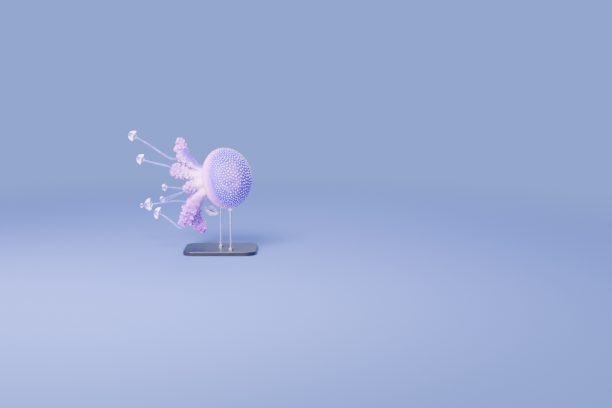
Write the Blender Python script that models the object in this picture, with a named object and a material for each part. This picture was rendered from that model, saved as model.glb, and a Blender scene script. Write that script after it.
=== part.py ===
"""A white-spotted jellyfish swimming on its side, as a life-size display model on a plain stand.

The flesh is modelled in the bell's own frame and hung from one empty: +Z runs from the mouth to the
crown of the bell, +X is the side of the bell that faces up, and +Y the side that faces the viewer.
Turns round the bell start at +X and go towards +Y. The row frame has +Z up, and its origin is the
middle of the stand's underside.
"""

import math

import bmesh
import bpy
from mathutils import Matrix, Quaternion, Vector

# Driving dimensions: metres and degrees.
BELL_RADIUS = 0.150
BELL_CENTRE = Vector((0.030, -0.045, 0.372))
BELL_AZIMUTH = -36.0
BELL_RISE = 11.0
GAP = 0.0003

# The bell, in bell radii and degrees from the crown.
CROWN_HEIGHT = 0.77
SKIRT_DEPTH = 0.55
WALL_AT_CROWN = 0.22
WALL_AT_EDGE = 0.035
MARGIN_START = 103.0
MARGIN_END = 120.0
BELL_SEGMENTS = 40
CROWN_STEPS = 4
SIDE_STEPS = 4
OCTANTS = 8
LAPPETS_PER_OCTANT = 6
LAPPET_DEPTH = 3.2

# The arm disc, in bell radii.
DISC_RADIUS = 0.54
DISC_TOP = 0.20
DISC_BOTTOM = 0.02
STOMACH_RADIUS = 0.34
STOMACH_LOBE = 0.22
DISC_SEGMENTS = 24
TRUNK_RADIUS = 0.145
TRUNK_BOTTOM = 0.85

# The oral arms, in bell radii.
ARM_ROOT_OUT = 0.30
ARM_ROOT_DOWN = 0.02
ARM_SPLIT = 0.40
SHAFT_ROOM_SHARE = 0.322
SHAFT_ACROSS_MOST = 0.200
SHAFT_THROUGH = 0.125
SHAFT_RINGS = 6
SHAFT_SIDES = 8
CORE_RADIUS = 0.070
BACK_AT_SPLIT = 0.125
BACK_AT_TIP = 0.045
WING_HALF_THICKNESS = 0.026
WING_TURNS = (75.0, 180.0, 285.0)
WING_WAVE = 0.045
WAVES_PER_ARM = 4.5
FRILL_RINGS = 19
ARM_SPACING_SHARE = 0.345
INNER_WING = 0.36
CENTRE_CLEAR = 0.17

# The filaments and their clubs, in metres but for the taper.
FILAMENT_TAPER = 0.60
FILAMENT_STEP = 0.022
FILAMENT_LEAD = 0.005
CLUB_WALL = 0.0070
CLUB_SEGMENTS = 12

# The stand, in metres.
BASE_LENGTH = 0.36
BASE_WIDTH = 0.27
BASE_THICKNESS = 0.020
BASE_CORNER = 0.050
BASE_EDGE = 0.003
ROD_RADIUS = 0.0045
ROD_COLLAR_RADIUS = 0.012
ROD_COLLAR_HEIGHT = 0.008
ROD_PAD_RADIUS = 0.011
ROD_SEGMENTS = 10


class Arm:
    """One oral arm. Turns are in degrees round the bell, the rest in bell radii.

    The centreline is a Bezier curve in the plane through the bell's axis: it leaves the disc straight
    down, as far as shaft_down would take it, swings past the elbow and ends at the tip. The plane
    itself turns from root_turn to tip_turn on the way. An arm that fills has an inner wing that first
    reaches in to the middle of the bunch.
    """

    def __init__(
        self, root_turn, tip_turn, shaft_down, elbow, tip, wing, blunt, back=0.03, fills=True
    ):
        self.root_turn = root_turn
        self.tip_turn = tip_turn
        self.phase = math.radians(1.65 * root_turn)
        self.control = (
            Vector((ARM_ROOT_OUT, -ARM_ROOT_DOWN)),
            Vector((ARM_ROOT_OUT, -shaft_down)),
            Vector((elbow[0], -elbow[1])),
            Vector((tip[0], -tip[1])),
        )
        self.wing = wing
        self.blunt = blunt
        self.back = back
        self.fills = fills

    def point(self, t):
        """The centreline's point at t, from 0 at the disc to 1 at the tip, in metres."""
        out, up = bezier(self.control, t)
        turn = math.radians(mix(self.root_turn, self.tip_turn, smooth(t)))
        return Vector((out * math.cos(turn), out * math.sin(turn), up)) * BELL_RADIUS

    def frame(self, t):
        """(point, direction along the arm, direction out of its smooth back, sideways)."""
        step = 0.002
        along = (self.point(t + step) - self.point(t - step)).normalized()
        turn = math.radians(mix(self.root_turn, self.tip_turn, smooth(t)))
        side = Vector((-math.sin(turn), math.cos(turn), 0.0))
        side = (side - along * side.dot(along)).normalized()
        return self.point(t), along, along.cross(side), side

    def room(self, t):
        """How far a wing can reach at t before it meets the next arm's, in bell radii."""
        return ARM_SPACING_SHARE * bezier(self.control, t)[0] - 0.003

    def half_width(self, t):
        """Half the shaft's width at t, in bell radii."""
        return min(SHAFT_ROOM_SHARE * bezier(self.control, t)[0], SHAFT_ACROSS_MOST)


class Filament:
    """The thread that trails from an arm to its club, leaving the frill's inner wing or its tip.

    leaves_at runs from 0 where the frill starts to 1 at its tip. The club's place and the bow are in
    bell radii, the sizes in metres. roll turns the club about its filament, in degrees.
    """

    def __init__(
        self, arm, leaves_at, club, bow, radius, club_radius, club_depth, lobe, roll, lengths=2
    ):
        self.arm = arm
        self.leaves_at = leaves_at
        self.club = Vector(club) * BELL_RADIUS
        self.bow = Vector(bow) * BELL_RADIUS
        self.radius = radius
        self.club_radius = club_radius
        self.club_depth = club_depth
        self.lobe = lobe
        self.roll = roll
        self.lengths = lengths


ARMS = (
    Arm(5, 5, 1.00, (0.75, 1.98), (1.57, 1.55), wing=0.250, blunt=7, back=0.17, fills=False),
    Arm(50, 55, 0.90, (0.60, 1.45), (1.06, 1.48), wing=0.265, blunt=10),
    Arm(95, 100, 0.85, (0.45, 1.30), (0.85, 1.00), wing=0.210, blunt=5),
    Arm(140, 145, 1.15, (0.90, 1.25), (1.62, 1.38), wing=0.260, blunt=7),
    Arm(185, 185, 1.00, (0.85, 2.35), (1.62, 1.35), wing=0.290, blunt=9, fills=False),
    Arm(230, 223, 0.80, (0.55, 1.25), (0.92, 1.15), wing=0.210, blunt=5),
    Arm(275, 272, 0.90, (0.55, 1.35), (1.00, 1.20), wing=0.220, blunt=5),
    Arm(320, 318, 0.80, (0.55, 1.05), (0.92, 0.72), wing=0.200, blunt=5),
)

FILAMENTS = (
    Filament(0, 0.58, (2.012, 0.330, -3.665), (0.00, -0.20, 0), 0.0062, 0.0260, 0.036, 0.24, -12),
    Filament(1, 1.00, (1.132, 1.058, -2.740), (-0.10, -0.15, 0), 0.0060, 0.0245, 0.032, 0.30, -13),
    Filament(2, 1.00, (0.037, 0.962, -1.914), (0.03, -0.10, 0), 0.0042, 0.0165, 0.020, 0.18, 3),
    Filament(3, 1.00, (-0.745, 1.046, -2.350), (0.04, -0.20, 0), 0.0060, 0.0295, 0.026, 0.22, -5),
    Filament(4, 0.37, (-0.466, 0.333, -3.425), (0.05, -0.20, 0), 0.0050, 0.0300, 0.032, 0.22, 29),
    Filament(5, 1.00, (-1.086, -0.619, -1.464), (0, 0, 0), 0.0050, 0.0380, 0.034, 0.20, -37, lengths=1),
    Filament(6, 1.00, (-0.374, -0.538, -3.500), (0.05, -0.15, 0), 0.0042, 0.0165, 0.018, 0.18, 53),
    Filament(7, 1.00, (-0.466, -0.072, -4.045), (-0.70, -0.10, 0), 0.0036, 0.0120, 0.014, 0.15, 7),
)


def mix(a, b, share):
    return a + (b - a) * share


def smooth(t):
    """0 to 1 with a level start and end."""
    t = min(1.0, max(0.0, t))
    return t * t * (3.0 - 2.0 * t)


def bezier(control, t):
    """The point at t on the cubic Bezier curve of four control points."""
    a, b, c, d = control
    u = 1.0 - t
    return a * u**3 + b * (3 * t * u * u) + c * (3 * t * t * u) + d * t**3


# ---------------------------------------------------------------- Blender helpers


def clear_scene():
    for obj in list(bpy.data.objects):
        bpy.data.objects.remove(obj, do_unlink=True)


def material(name, colour, roughness, metallic=0.0):
    made = bpy.data.materials.new(name)
    made.use_nodes = True
    shader = made.node_tree.nodes["Principled BSDF"]
    shader.inputs["Base Color"].default_value = (*colour, 1.0)
    shader.inputs["Roughness"].default_value = roughness
    shader.inputs["Metallic"].default_value = metallic
    return made


def add_object(name, data, finish, parent=None):
    obj = bpy.data.objects.new(name, data)
    obj.data.materials.append(finish)
    obj.parent = parent
    bpy.context.scene.collection.objects.link(obj)
    return obj


def mesh_object(name, bm, finish, parent=None, sharp_angle=40.0):
    bmesh.ops.recalc_face_normals(bm, faces=bm.faces)
    data = bpy.data.meshes.new(name)
    bm.to_mesh(data)
    bm.free()
    data.shade_smooth()
    data.set_sharp_from_angle(angle=math.radians(sharp_angle))
    return add_object(name, data, finish, parent)


def closed_loop(bm, points):
    """A ring of edges through the points."""
    verts = [bm.verts.new(p) for p in points]
    return [bm.edges.new((a, b)) for a, b in zip(verts, verts[1:] + verts[:1])]


def ring_verts(loop):
    return [edge.verts[0] for edge in loop]


def loft(rings):
    """A closed body through rings of as many points each, bridged one to the next and capped."""
    bm = bmesh.new()
    loops = [closed_loop(bm, ring) for ring in rings]
    for first, second in zip(loops, loops[1:]):
        skin(bm, first, second)
    bm.faces.new(list(reversed(ring_verts(loops[0]))))
    bm.faces.new(ring_verts(loops[-1]))
    return bm


def skin(bm, first, second):
    """A band of faces between two rings, point to point."""
    a, b = ring_verts(first), ring_verts(second)
    for i in range(len(a)):
        j = (i + 1) % len(a)
        bm.faces.new((a[i], a[j], b[j], b[i]))


def turned(profile, segments):
    """A profile of (out, up) points turned round Z with spin. It starts and ends on the axis, or closes."""
    bm = bmesh.new()
    verts = [bm.verts.new((out, 0.0, up)) for out, up in profile]
    edges = [bm.edges.new(pair) for pair in zip(verts, verts[1:])]
    if profile[0][0] > 0:
        edges.append(bm.edges.new((verts[-1], verts[0])))
    bmesh.ops.spin(
        bm,
        geom=verts + edges,
        cent=(0, 0, 0),
        axis=(0, 0, 1),
        angle=math.tau,
        steps=segments,
        use_merge=True,
    )
    bmesh.ops.remove_doubles(bm, verts=bm.verts, dist=1e-5)
    return bm


# ---------------------------------------------------------------- the bell


def bell_outside(angle):
    """The outer skin at an angle from the crown: (out, up) in bell radii."""
    a = math.radians(angle)
    height = CROWN_HEIGHT if angle < 90 else SKIRT_DEPTH
    return Vector((math.sin(a), height * math.cos(a)))


def bell_wall(angle):
    """The wall's thickness at an angle from the crown, in bell radii."""
    return mix(WALL_AT_CROWN, WALL_AT_EDGE, (angle / MARGIN_END) ** 1.2)


def bell_inside(angle):
    step = 0.5
    run = bell_outside(angle + step) - bell_outside(angle - step)
    inward = Vector((run.y, -run.x)).normalized()
    return bell_outside(angle) + inward * bell_wall(angle)


def make_bell(parent, finish):
    """The dome in two solids, the crown and the side, so that each is a simple shape."""
    steps = CROWN_STEPS + SIDE_STEPS
    angles = [MARGIN_START * i / steps for i in range(steps + 1)]
    gap = math.degrees(GAP / BELL_RADIUS)
    crown = angles[:CROWN_STEPS] + [angles[CROWN_STEPS] - gap]
    side = [angles[CROWN_STEPS] + gap] + angles[CROWN_STEPS + 1 :]
    for name, run in (("bell_crown", crown), ("bell_side", side)):
        outside = [bell_outside(a) * BELL_RADIUS for a in run]
        inside = [bell_inside(a) * BELL_RADIUS for a in reversed(run)]
        if run[0] == 0:
            outside[0].x = inside[-1].x = 0.0
        mesh_object(name, turned(outside + inside, BELL_SEGMENTS), finish, parent)


def lappet_reach(step, steps_per_octant):
    """How many degrees the edge falls short at a step round the margin: deepest between octants."""
    if step % steps_per_octant == 0:
        return 1.5 * LAPPET_DEPTH
    return LAPPET_DEPTH if step % 2 == 0 else 0.0


def make_margin(parent, finish):
    steps_per_octant = 2 * LAPPETS_PER_OCTANT
    count = OCTANTS * steps_per_octant
    start = MARGIN_START + math.degrees(2 * GAP / (BELL_RADIUS * SKIRT_DEPTH))
    rows = [(bell_outside, 0.0), (bell_outside, 1.0), (bell_inside, 1.0), (bell_inside, 0.0)]
    bm = bmesh.new()
    loops = []
    for side, share in rows:
        points = []
        for step in range(count):
            end = MARGIN_END - lappet_reach(step, steps_per_octant)
            out, up = side(mix(start, end, share)) * BELL_RADIUS
            turn = math.tau * step / count
            points.append((out * math.cos(turn), out * math.sin(turn), up))
        loops.append(closed_loop(bm, points))
    for first, second in zip(loops, loops[1:] + loops[:1]):
        skin(bm, first, second)
    return mesh_object("bell_margin", bm, finish, parent)


# ---------------------------------------------------------------- the arm disc


def ceiling_height(out):
    """How high the bell's faceted inner skin is at a distance from the axis, in bell radii."""
    step = MARGIN_START / (CROWN_STEPS + SIDE_STEPS)
    corners = [bell_inside(step * i) for i in range(CROWN_STEPS + 2)]
    corners[0].x = 0.0
    out = out / math.cos(math.pi / BELL_SEGMENTS)
    for a, b in zip(corners, corners[1:]):
        if out <= b.x:
            return mix(a.y, b.y, (out - a.x) / (b.x - a.x))
    return corners[-1].y


def make_arm_disc(parent, finish):
    """The round disc that bears the arms, the short trunk between them, and the four-lobed stomach
    that joins the disc to the bell.
    """
    rim = (DISC_TOP - DISC_BOTTOM) / 2
    middle = (DISC_TOP + DISC_BOTTOM) / 2
    rows = [(TRUNK_RADIUS * 0.55, -TRUNK_BOTTOM, 0.0), (TRUNK_RADIUS, -TRUNK_BOTTOM * 0.93, 0.0)]
    rows += [(TRUNK_RADIUS, DISC_BOTTOM * 0.5, 0.0), (DISC_RADIUS * 0.5, DISC_BOTTOM, 0.0)]
    rows.append((DISC_RADIUS - rim, DISC_BOTTOM, 0.0))
    for angle in (-45, 0, 45):
        a = math.radians(angle)
        rows.append((DISC_RADIUS - rim + rim * math.cos(a), middle + rim * math.sin(a), 0.0))
    rows += [(STOMACH_RADIUS * 1.15, DISC_TOP + 0.02, 0.5), (STOMACH_RADIUS, 0.33, 1.0)]
    rows += [(STOMACH_RADIUS * 1.02, None, 1.0), (STOMACH_RADIUS * 0.5, None, 0.6)]
    rings = []
    for out, up, lobed in rows:
        ring = []
        for step in range(DISC_SEGMENTS):
            turn = math.tau * step / DISC_SEGMENTS
            r = out * (1 + lobed * STOMACH_LOBE * math.cos(4 * turn))
            z = ceiling_height(r) * BELL_RADIUS - 2 * GAP if up is None else up * BELL_RADIUS
            ring.append((r * BELL_RADIUS * math.cos(turn), r * BELL_RADIUS * math.sin(turn), z))
        rings.append(ring)
    return mesh_object("arm_disc", loft(rings), finish, parent)


# ---------------------------------------------------------------- the oral arms


def make_shaft(name, arm, parent, finish):
    """The smooth upper part of an arm: oval, and as wide as its place among the others allows."""
    rings = []
    for i in range(SHAFT_RINGS):
        t = mix(0.0, ARM_SPLIT, i / (SHAFT_RINGS - 1))
        middle, along, back, side = arm.frame(t)
        if i == 0:
            middle = middle - along * (GAP / 2)
        half = arm.half_width(t) / math.cos(math.pi / SHAFT_SIDES)
        ring = []
        for k in range(SHAFT_SIDES):
            a = math.tau * (k + 0.5) / SHAFT_SIDES
            through = back * (math.cos(a) * SHAFT_THROUGH * 1.08)
            ring.append(middle + (through + side * (math.sin(a) * half)) * BELL_RADIUS)
        rings.append(ring)
    return mesh_object(name, loft(rings), finish, parent)


def wing_reach(arm, u, t, number):
    """How far one of the wings stands out of the arm at u along the frill, in bell radii."""
    grown = mix(arm.half_width(ARM_SPLIT), arm.wing, smooth(u / 0.35))
    rounded = math.sqrt(max(0.0, 1.0 - u**arm.blunt))
    slimmest = mix(1.15, 0.62, u) * CORE_RADIUS
    reach = max(min(grown * rounded, arm.room(t)), slimmest)
    if number == 1 and arm.fills:
        inner = min(INNER_WING, bezier(arm.control, t)[0] - CENTRE_CLEAR)
        reach = mix(reach, max(reach, inner), smooth(u / 0.15) * (1.0 - smooth((u - 0.35) / 0.35)))
    return reach


def wing_edge(arm, u, number, frame):
    """The edge of one of the wings at u, from the arm's middle, in bell radii; and its two directions."""
    _, along, back, side = frame
    reach = wing_reach(arm, u, mix(ARM_SPLIT, 1.0, u), number)
    wave = math.sin(math.tau * WAVES_PER_ARM * u + arm.phase + 2.1 * number) * smooth(u / 0.3)
    swing = WING_WAVE * wave * smooth((reach - CORE_RADIUS) / (arm.wing - CORE_RADIUS))
    if number == 1 and arm.fills:
        swing *= smooth(2 * u)
    out = direction(WING_TURNS[number], back, side)
    over = direction(WING_TURNS[number] + 90, back, side)
    return out * reach + over * swing + along * (0.5 * swing), out, over


def frill_ring(arm, u):
    """One section of a frilled arm: a core with three thin wings, each swung by its own wave."""
    start = ARM_SPLIT + 2 * GAP / (BELL_RADIUS * 1.5)
    frame = arm.frame(mix(start, 1.0, u))
    middle, _, back, side = frame
    core = CORE_RADIUS * mix(mix(1.4, 1.0, smooth(u / 0.3)), 0.55, u)
    half = WING_HALF_THICKNESS * mix(2.0, 1.0, smooth(u / 0.3))
    ridge = mix(BACK_AT_SPLIT, BACK_AT_TIP, u**1.5) + arm.back * math.sin(math.pi * u)
    points = [direction(-28, back, side) * ridge, direction(28, back, side) * ridge]
    for number, turn in enumerate(WING_TURNS):
        edge, _, over = wing_edge(arm, u, number, frame)
        points += [edge - over * half, edge + over * half]
        if number < 2:
            points.append(direction(turn + 52.5, back, side) * core)
    return [middle + p * BELL_RADIUS for p in points]


def direction(turn, back, side):
    """The direction at a turn round the arm, from its smooth back towards its side."""
    a = math.radians(turn)
    return back * math.cos(a) + side * math.sin(a)


def make_frill(name, arm, parent, finish):
    rings = [frill_ring(arm, i / (FRILL_RINGS - 1)) for i in range(FRILL_RINGS)]
    return mesh_object(name, loft(rings), finish, parent, sharp_angle=60.0)


# ---------------------------------------------------------------- filaments and clubs


def filament_points(filament):
    """The filament's centreline, from the arm's skin to the inside of its club.

    It leaves the arm with a short straight lead and then follows a Bezier curve.
    """
    arm = ARMS[filament.arm]
    frame = arm.frame(mix(ARM_SPLIT, 1.0, filament.leaves_at))
    if filament.leaves_at < 1.0:
        edge, leaves, _ = wing_edge(arm, filament.leaves_at, 1, frame)
        foot = frame[0] + edge * BELL_RADIUS + leaves * (4 * GAP)
    else:
        leaves = frame[1]
        foot = frame[0] + leaves * GAP
    start = foot + leaves * FILAMENT_LEAD
    run = filament.club - start
    first = start + leaves * (0.22 * run.length) + filament.bow * 0.5
    second = start + run * 0.62 + filament.bow
    route = (start, first, second, filament.club)
    steps = max(4, 2 * round(run.length / FILAMENT_STEP / 2))
    return [foot] + [bezier(route, i / steps) for i in range(steps + 1)]


def make_filament(name, filament, parent, finish):
    """Its lengths, each a round tube that tapers towards the club, cut GAP apart."""
    points = filament_points(filament)
    count = len(points)
    cuts = [round(i * (count - 1) / filament.lengths) for i in range(filament.lengths + 1)]
    made = []
    for number, (first, last) in enumerate(zip(cuts, cuts[1:]), 1):
        run = points[first : last + 1]
        if number > 1:
            run[0] = run[0] + (run[1] - run[0]).normalized() * (3 * GAP)
        curve = bpy.data.curves.new(f"{name}_{number}", "CURVE")
        curve.dimensions = "3D"
        curve.bevel_depth = 1.0
        curve.bevel_resolution = 1
        curve.use_fill_caps = True
        curve.twist_mode = "MINIMUM"
        spline = curve.splines.new("POLY")
        spline.points.add(len(run) - 1)
        for i, point in enumerate(spline.points):
            point.co = (*run[i], 1.0)
            share = (first + i) / (count - 1)
            point.radius = filament.radius * mix(1.0, FILAMENT_TAPER, share)
        made.append(add_object(curve.name, curve, finish, parent))
    return made


def make_club(name, filament, parent, finish):
    """A cap of three rounded wings, hollow on the side where its filament comes in."""
    radius, depth, lobe = filament.club_radius, filament.club_depth, filament.lobe
    outer = [(math.sin(a), 1 - math.cos(a)) for a in (0, 0.45, 0.9, 1.3, 1.57)]
    profile = [(radius * s, -depth * c) for s, c in outer]
    inner = [(0.94, 1.0), (0.72, 0.52), (0.38, 0.16)]
    profile += [(radius * s, -CLUB_WALL - (depth - CLUB_WALL) * c) for s, c in inner]
    profile += [(1.3 * FILAMENT_TAPER * filament.radius, -CLUB_WALL), (0.0, -CLUB_WALL)]
    profile[4] = (radius, -depth * 0.94)
    bm = turned(profile, CLUB_SEGMENTS)
    for vert in bm.verts:
        turn = math.atan2(vert.co.y, vert.co.x)
        share = math.hypot(vert.co.x, vert.co.y) / radius
        swell = 1 + lobe * share * (math.cos(3 * turn) - 0.4)
        vert.co.x *= swell
        vert.co.y *= swell
        vert.co.z -= 0.35 * lobe * depth * share**2 * math.cos(3 * turn)
    obj = mesh_object(name, bm, finish, parent)
    before, end = filament_points(filament)[-2:]
    arrives = (end - before).normalized()
    obj.rotation_mode = "QUATERNION"
    roll = Quaternion((0.0, 0.0, 1.0), math.radians(filament.roll))
    obj.rotation_quaternion = arrives.to_track_quat("Z", "Y") @ roll
    obj.location = end + arrives * (CLUB_WALL + 1.4 * GAP)
    return obj


# ---------------------------------------------------------------- the stand


def make_base(finish):
    """A flat oblong plate with round corners and a small bevel round its top."""
    bm = bmesh.new()
    bmesh.ops.create_cube(bm, size=1.0)
    bmesh.ops.scale(bm, vec=(BASE_LENGTH, BASE_WIDTH, BASE_THICKNESS), verts=bm.verts)
    bmesh.ops.translate(bm, vec=(0, 0, BASE_THICKNESS / 2), verts=bm.verts)
    uprights = [e for e in bm.edges if abs(e.verts[0].co.z - e.verts[1].co.z) > BASE_THICKNESS / 2]
    bmesh.ops.bevel(
        bm,
        geom=uprights,
        offset=BASE_CORNER,
        segments=6,
        profile=0.5,
        affect="EDGES",
        clamp_overlap=True,
    )
    top_edges = [e for e in bm.edges if min(v.co.z for v in e.verts) > BASE_THICKNESS * 0.9]
    bmesh.ops.bevel(
        bm,
        geom=top_edges,
        offset=BASE_EDGE,
        segments=2,
        profile=0.5,
        affect="EDGES",
        clamp_overlap=True,
    )
    return mesh_object("stand_base", bm, finish)


def make_rod(name, top, finish):
    """A round rod with a foot collar and a soft round pad, whose top just meets the flesh above it."""
    foot = BASE_THICKNESS + GAP
    pad = ROD_PAD_RADIUS
    profile = [(0.0, foot), (ROD_COLLAR_RADIUS, foot)]
    profile += [(ROD_COLLAR_RADIUS, foot + ROD_COLLAR_HEIGHT), (ROD_RADIUS, foot + ROD_COLLAR_HEIGHT)]
    profile.append((ROD_RADIUS, top.z - 1.1 * pad))
    for angle in (-50, -15, 20, 50, 72):
        a = math.radians(angle)
        profile.append((pad * math.cos(a), top.z + 0.55 * pad * (math.sin(a) - 1)))
    profile.append((0.0, top.z))
    obj = mesh_object(name, turned(profile, ROD_SEGMENTS), finish)
    obj.location = (top.x, top.y, 0.0)
    return obj


def main():
    clear_scene()
    jelly = material("bell jelly", (0.36, 0.31, 0.86), 0.25)
    edge = material("margin jelly", (0.72, 0.50, 0.87), 0.30)
    disc = material("arm disc", (0.86, 0.76, 0.95), 0.40)
    shaft = material("arm shaft", (0.93, 0.82, 0.95), 0.40)
    frill = material("arm frill", (0.84, 0.62, 0.90), 0.50)
    thread = material("filament", (0.45, 0.43, 0.90), 0.30)
    club = material("club", (0.92, 0.90, 0.98), 0.40)
    lacquer = material("base lacquer", (0.03, 0.03, 0.035), 0.35)
    steel = material("rod steel", (0.62, 0.62, 0.64), 0.30, 1.0)

    body = bpy.data.objects.new("body", None)
    bpy.context.scene.collection.objects.link(body)
    body.location = BELL_CENTRE
    body.rotation_mode = "QUATERNION"
    body.rotation_quaternion = (
        Matrix.Rotation(math.radians(BELL_AZIMUTH), 3, "Z")
        @ Matrix.Rotation(math.radians(90 - BELL_RISE), 3, "Y")
        @ Matrix.Rotation(math.pi, 3, "Z")
    ).to_quaternion()

    make_bell(body, jelly)
    make_margin(body, edge)
    make_arm_disc(body, disc)
    for number, arm in enumerate(ARMS, 1):
        make_shaft(f"arm_{number}_shaft", arm, body, shaft)
        make_frill(f"arm_{number}_frill", arm, body, frill)
    for number, filament in enumerate(FILAMENTS, 1):
        make_filament(f"filament_{number}", filament, body, thread)
        make_club(f"club_{number}", filament, body, club)

    make_base(lacquer)
    make_rod("stand_rod_bell", Vector((0.054, -0.062, 0.2245)), steel)
    make_rod("stand_rod_arms", Vector((-0.001, 0.026, 0.3047)), steel)


main()
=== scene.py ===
"""The looks of a white-spotted jellyfish on its display stand: one skin, its spots and its frills.

The flesh is worked out in the bell's own frame, in bell radii, as in the solids: +Z runs from the
mouth to the crown of the bell, +X is the side of the bell that faces up, and +Y the side that faces
the viewer. `placed` turns it into the row frame, in metres with +Z up.
"""

import math
from typing import NamedTuple

import bpy
import numpy as np
from bpy.props import FloatProperty, FloatVectorProperty, IntProperty, PointerProperty
from bpy.types import Operator, Panel, PropertyGroup
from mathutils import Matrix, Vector


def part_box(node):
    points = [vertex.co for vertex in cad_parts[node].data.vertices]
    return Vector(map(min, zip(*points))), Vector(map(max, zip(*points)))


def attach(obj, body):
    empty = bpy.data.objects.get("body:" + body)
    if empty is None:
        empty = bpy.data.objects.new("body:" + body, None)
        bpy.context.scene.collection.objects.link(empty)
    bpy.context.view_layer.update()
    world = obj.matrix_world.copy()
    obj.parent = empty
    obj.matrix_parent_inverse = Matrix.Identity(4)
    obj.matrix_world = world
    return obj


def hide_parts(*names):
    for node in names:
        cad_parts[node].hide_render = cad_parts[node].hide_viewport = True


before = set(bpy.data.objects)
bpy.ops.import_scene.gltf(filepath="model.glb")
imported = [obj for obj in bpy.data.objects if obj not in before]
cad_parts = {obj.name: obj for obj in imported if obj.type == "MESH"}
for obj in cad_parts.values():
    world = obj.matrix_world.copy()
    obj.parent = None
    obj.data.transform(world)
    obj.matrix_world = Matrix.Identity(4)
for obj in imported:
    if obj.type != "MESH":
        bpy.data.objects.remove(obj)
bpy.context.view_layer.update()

bl_info = {
    "name": "Spotted jellyfish looks",
    "version": (1, 0, 0),
    "blender": (4, 5, 0),
    "location": "View3D > Sidebar > Jellyfish",
    "description": "Skin, spots, frills and stage for a jellyfish display model",
    "category": "Object",
}

# The bell, as in the solids: metres and degrees, then bell radii and degrees from the crown.
BELL_RADIUS = 0.150
BELL_CENTRE = np.array((0.030, -0.045, 0.372))
BELL_AZIMUTH = -36.0
BELL_RISE = 11.0
CROWN_HEIGHT = 0.77
SKIRT_DEPTH = 0.55
WALL_AT_CROWN = 0.22
WALL_AT_EDGE = 0.035
MARGIN_END = 120.0
LAPPETS = 48
LAPPETS_PER_OCTANT = 6
LAPPET_DEPTH = 3.2
FURROW_START = 84.0
FURROW_DEPTH = 0.008
CANALS = 16
CLEAR_SIDE = np.array((0.0, 0.794, 0.608))
CLEAREST = 0.9
BELL_COLUMNS = 6 * LAPPETS
BELL_ROWS = 44
RIM_ROWS = 5

# The bell's spots: degrees from the crown, shares of a spacing or a size, and how they are sown.
# A ring of a spot is its radius in spot radii and its height in spot heights.
SPOTS_END = 103.0
SPOTS_SHORT = 31.0
SPARSE_CROWN = 1.50
LOW_SPOTS = 0.82
SPREAD_ROUNDS = 40
SPREAD_SEED = 11
SIZE_SEED = 12
SPOT_RINGS = ((0.45, 0.85), (0.85, 0.30), (1.0, -0.6))
SPOT_SIDES = 10

# The arm disc, the stomach and the trunk, in bell radii, and how milky the stomach's jelly is. A
# row of the trunk is (out, up, lobed, shift).
DISC_RADIUS = 0.54
DISC_TOP = 0.20
DISC_BOTTOM = 0.02
DISC_SIDES = 96
STOMACH_RADIUS = 0.34
STOMACH_LOBE = 0.22
STOMACH_MILK = 0.85
TRUNK_ROWS = (
    (0.12, -1.21, 0, 0.13),
    (0.24, -1.16, 0, 0.12),
    (0.34, -1.07, 0, 0.09),
    (0.40, -0.95, 0, 0.05),
    (0.40, -0.80, 0, 0.02),
    (0.38, -0.60, 0, 0.00),
    (0.375, -0.30, 0, 0.00),
    (0.37, 0.00, 0, 0.00),
    (0.30, 0.06, 0, 0.00),
)
TRUNK_SIDES = 64

# The oral arms, in bell radii. The wing that faces the middle of the bunch is number INNER.
ARM_ROOT_OUT = 0.30
ARM_ROOT_DOWN = 0.02
ARM_SPLIT = 0.40
SHAFT_ROOM_SHARE = 0.322
SHAFT_ACROSS_MOST = 0.200
SHAFT_THROUGH = 0.125
CORE_RADIUS = 0.070
BACK_AT_SPLIT = 0.125
BACK_AT_TIP = 0.045
WING_HALF_THICKNESS = 0.026
WING_TURNS = (75.0, 180.0, 285.0)
INNER = 1
WING_WAVE = 0.045
WAVES_PER_ARM = 4.5
ARM_SPACING_SHARE = 0.345
INNER_WING = 0.36
CENTRE_CLEAR = 0.17
ARM_RINGS = 90

# The flesh as one skin: the voxel in metres, and the rounds that smooth its shape and its values.
VOXEL = 0.0030
SHAPE_ROUNDS = 6
VALUE_ROUNDS = 25
# Rim value of plain flesh: below it the colour is painted shade, above it a painted highlight.
PLAIN_RIM = 0.45
CLEAR, LINING, FLESH, THREAD, CLUB = range(5)

# The frills. A row of ruffles is its place on a wing and its lean off it in degrees. The knobs on
# the smooth back are numbered after those on the three wings.
RUFFLE_ROOM = 0.8
RUFFLE_ROWS = ((1.0, 0.0), (0.92, 38.0), (0.92, -38.0), (0.62, 62.0), (0.62, -62.0))
RUFFLE_PROFILE = (0.0, 0.3, 0.6, 0.85, 1.0)
STEPS_PER_FOLD = 12
# Rim value at a ruffle's root, where it meets the arm: painted shade.
SHADED_ROOT_RIM = 0.10
BACK = len(WING_TURNS)
KNOB_SHARES = (0.25, 0.20, 0.25, 0.30)
KNOB_ROWS = (35, 75, 110, 145)
KNOB_SIDES = 6

# The filaments and their clubs, in metres but for the taper, and the rows of a club's lip.
FILAMENT_TAPER = 0.60
FILAMENT_LEAD = 0.005
CLUB_WALL = 0.0070
LIP_ROWS = 5
GAP = 0.0003

# The map: how far it stays from its edges, and half the patch that a small thing takes on it.
MAP_EDGE = 0.04
MAP_PATCH = 0.0015

# The materials: sizes of their patterns in metres, and how they bend and pass light.
BELL_CLOUDS = 0.014
BELL_GRAIN = 0.0025
LINING_CLOUDS = 0.018
PIGMENT_PATCHES = 0.004
FLESH_MOTTLE = 0.009
FLESH_GRAIN = 0.0035
# How large the frills' darker pits are: painted shade of holes in random places.
FRILL_PIT_SHADE = 0.016
THREAD_CLOUDS = 0.020
CLUB_CLOUDS = 0.006
RUBBED_PATCHES = 0.012
BRUSH_LINES = 0.001
WATER_IOR = 1.33
FLESH_IOR = 1.34
LACQUER_IOR = 1.5
SHADOW_CUT = 0.67

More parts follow.
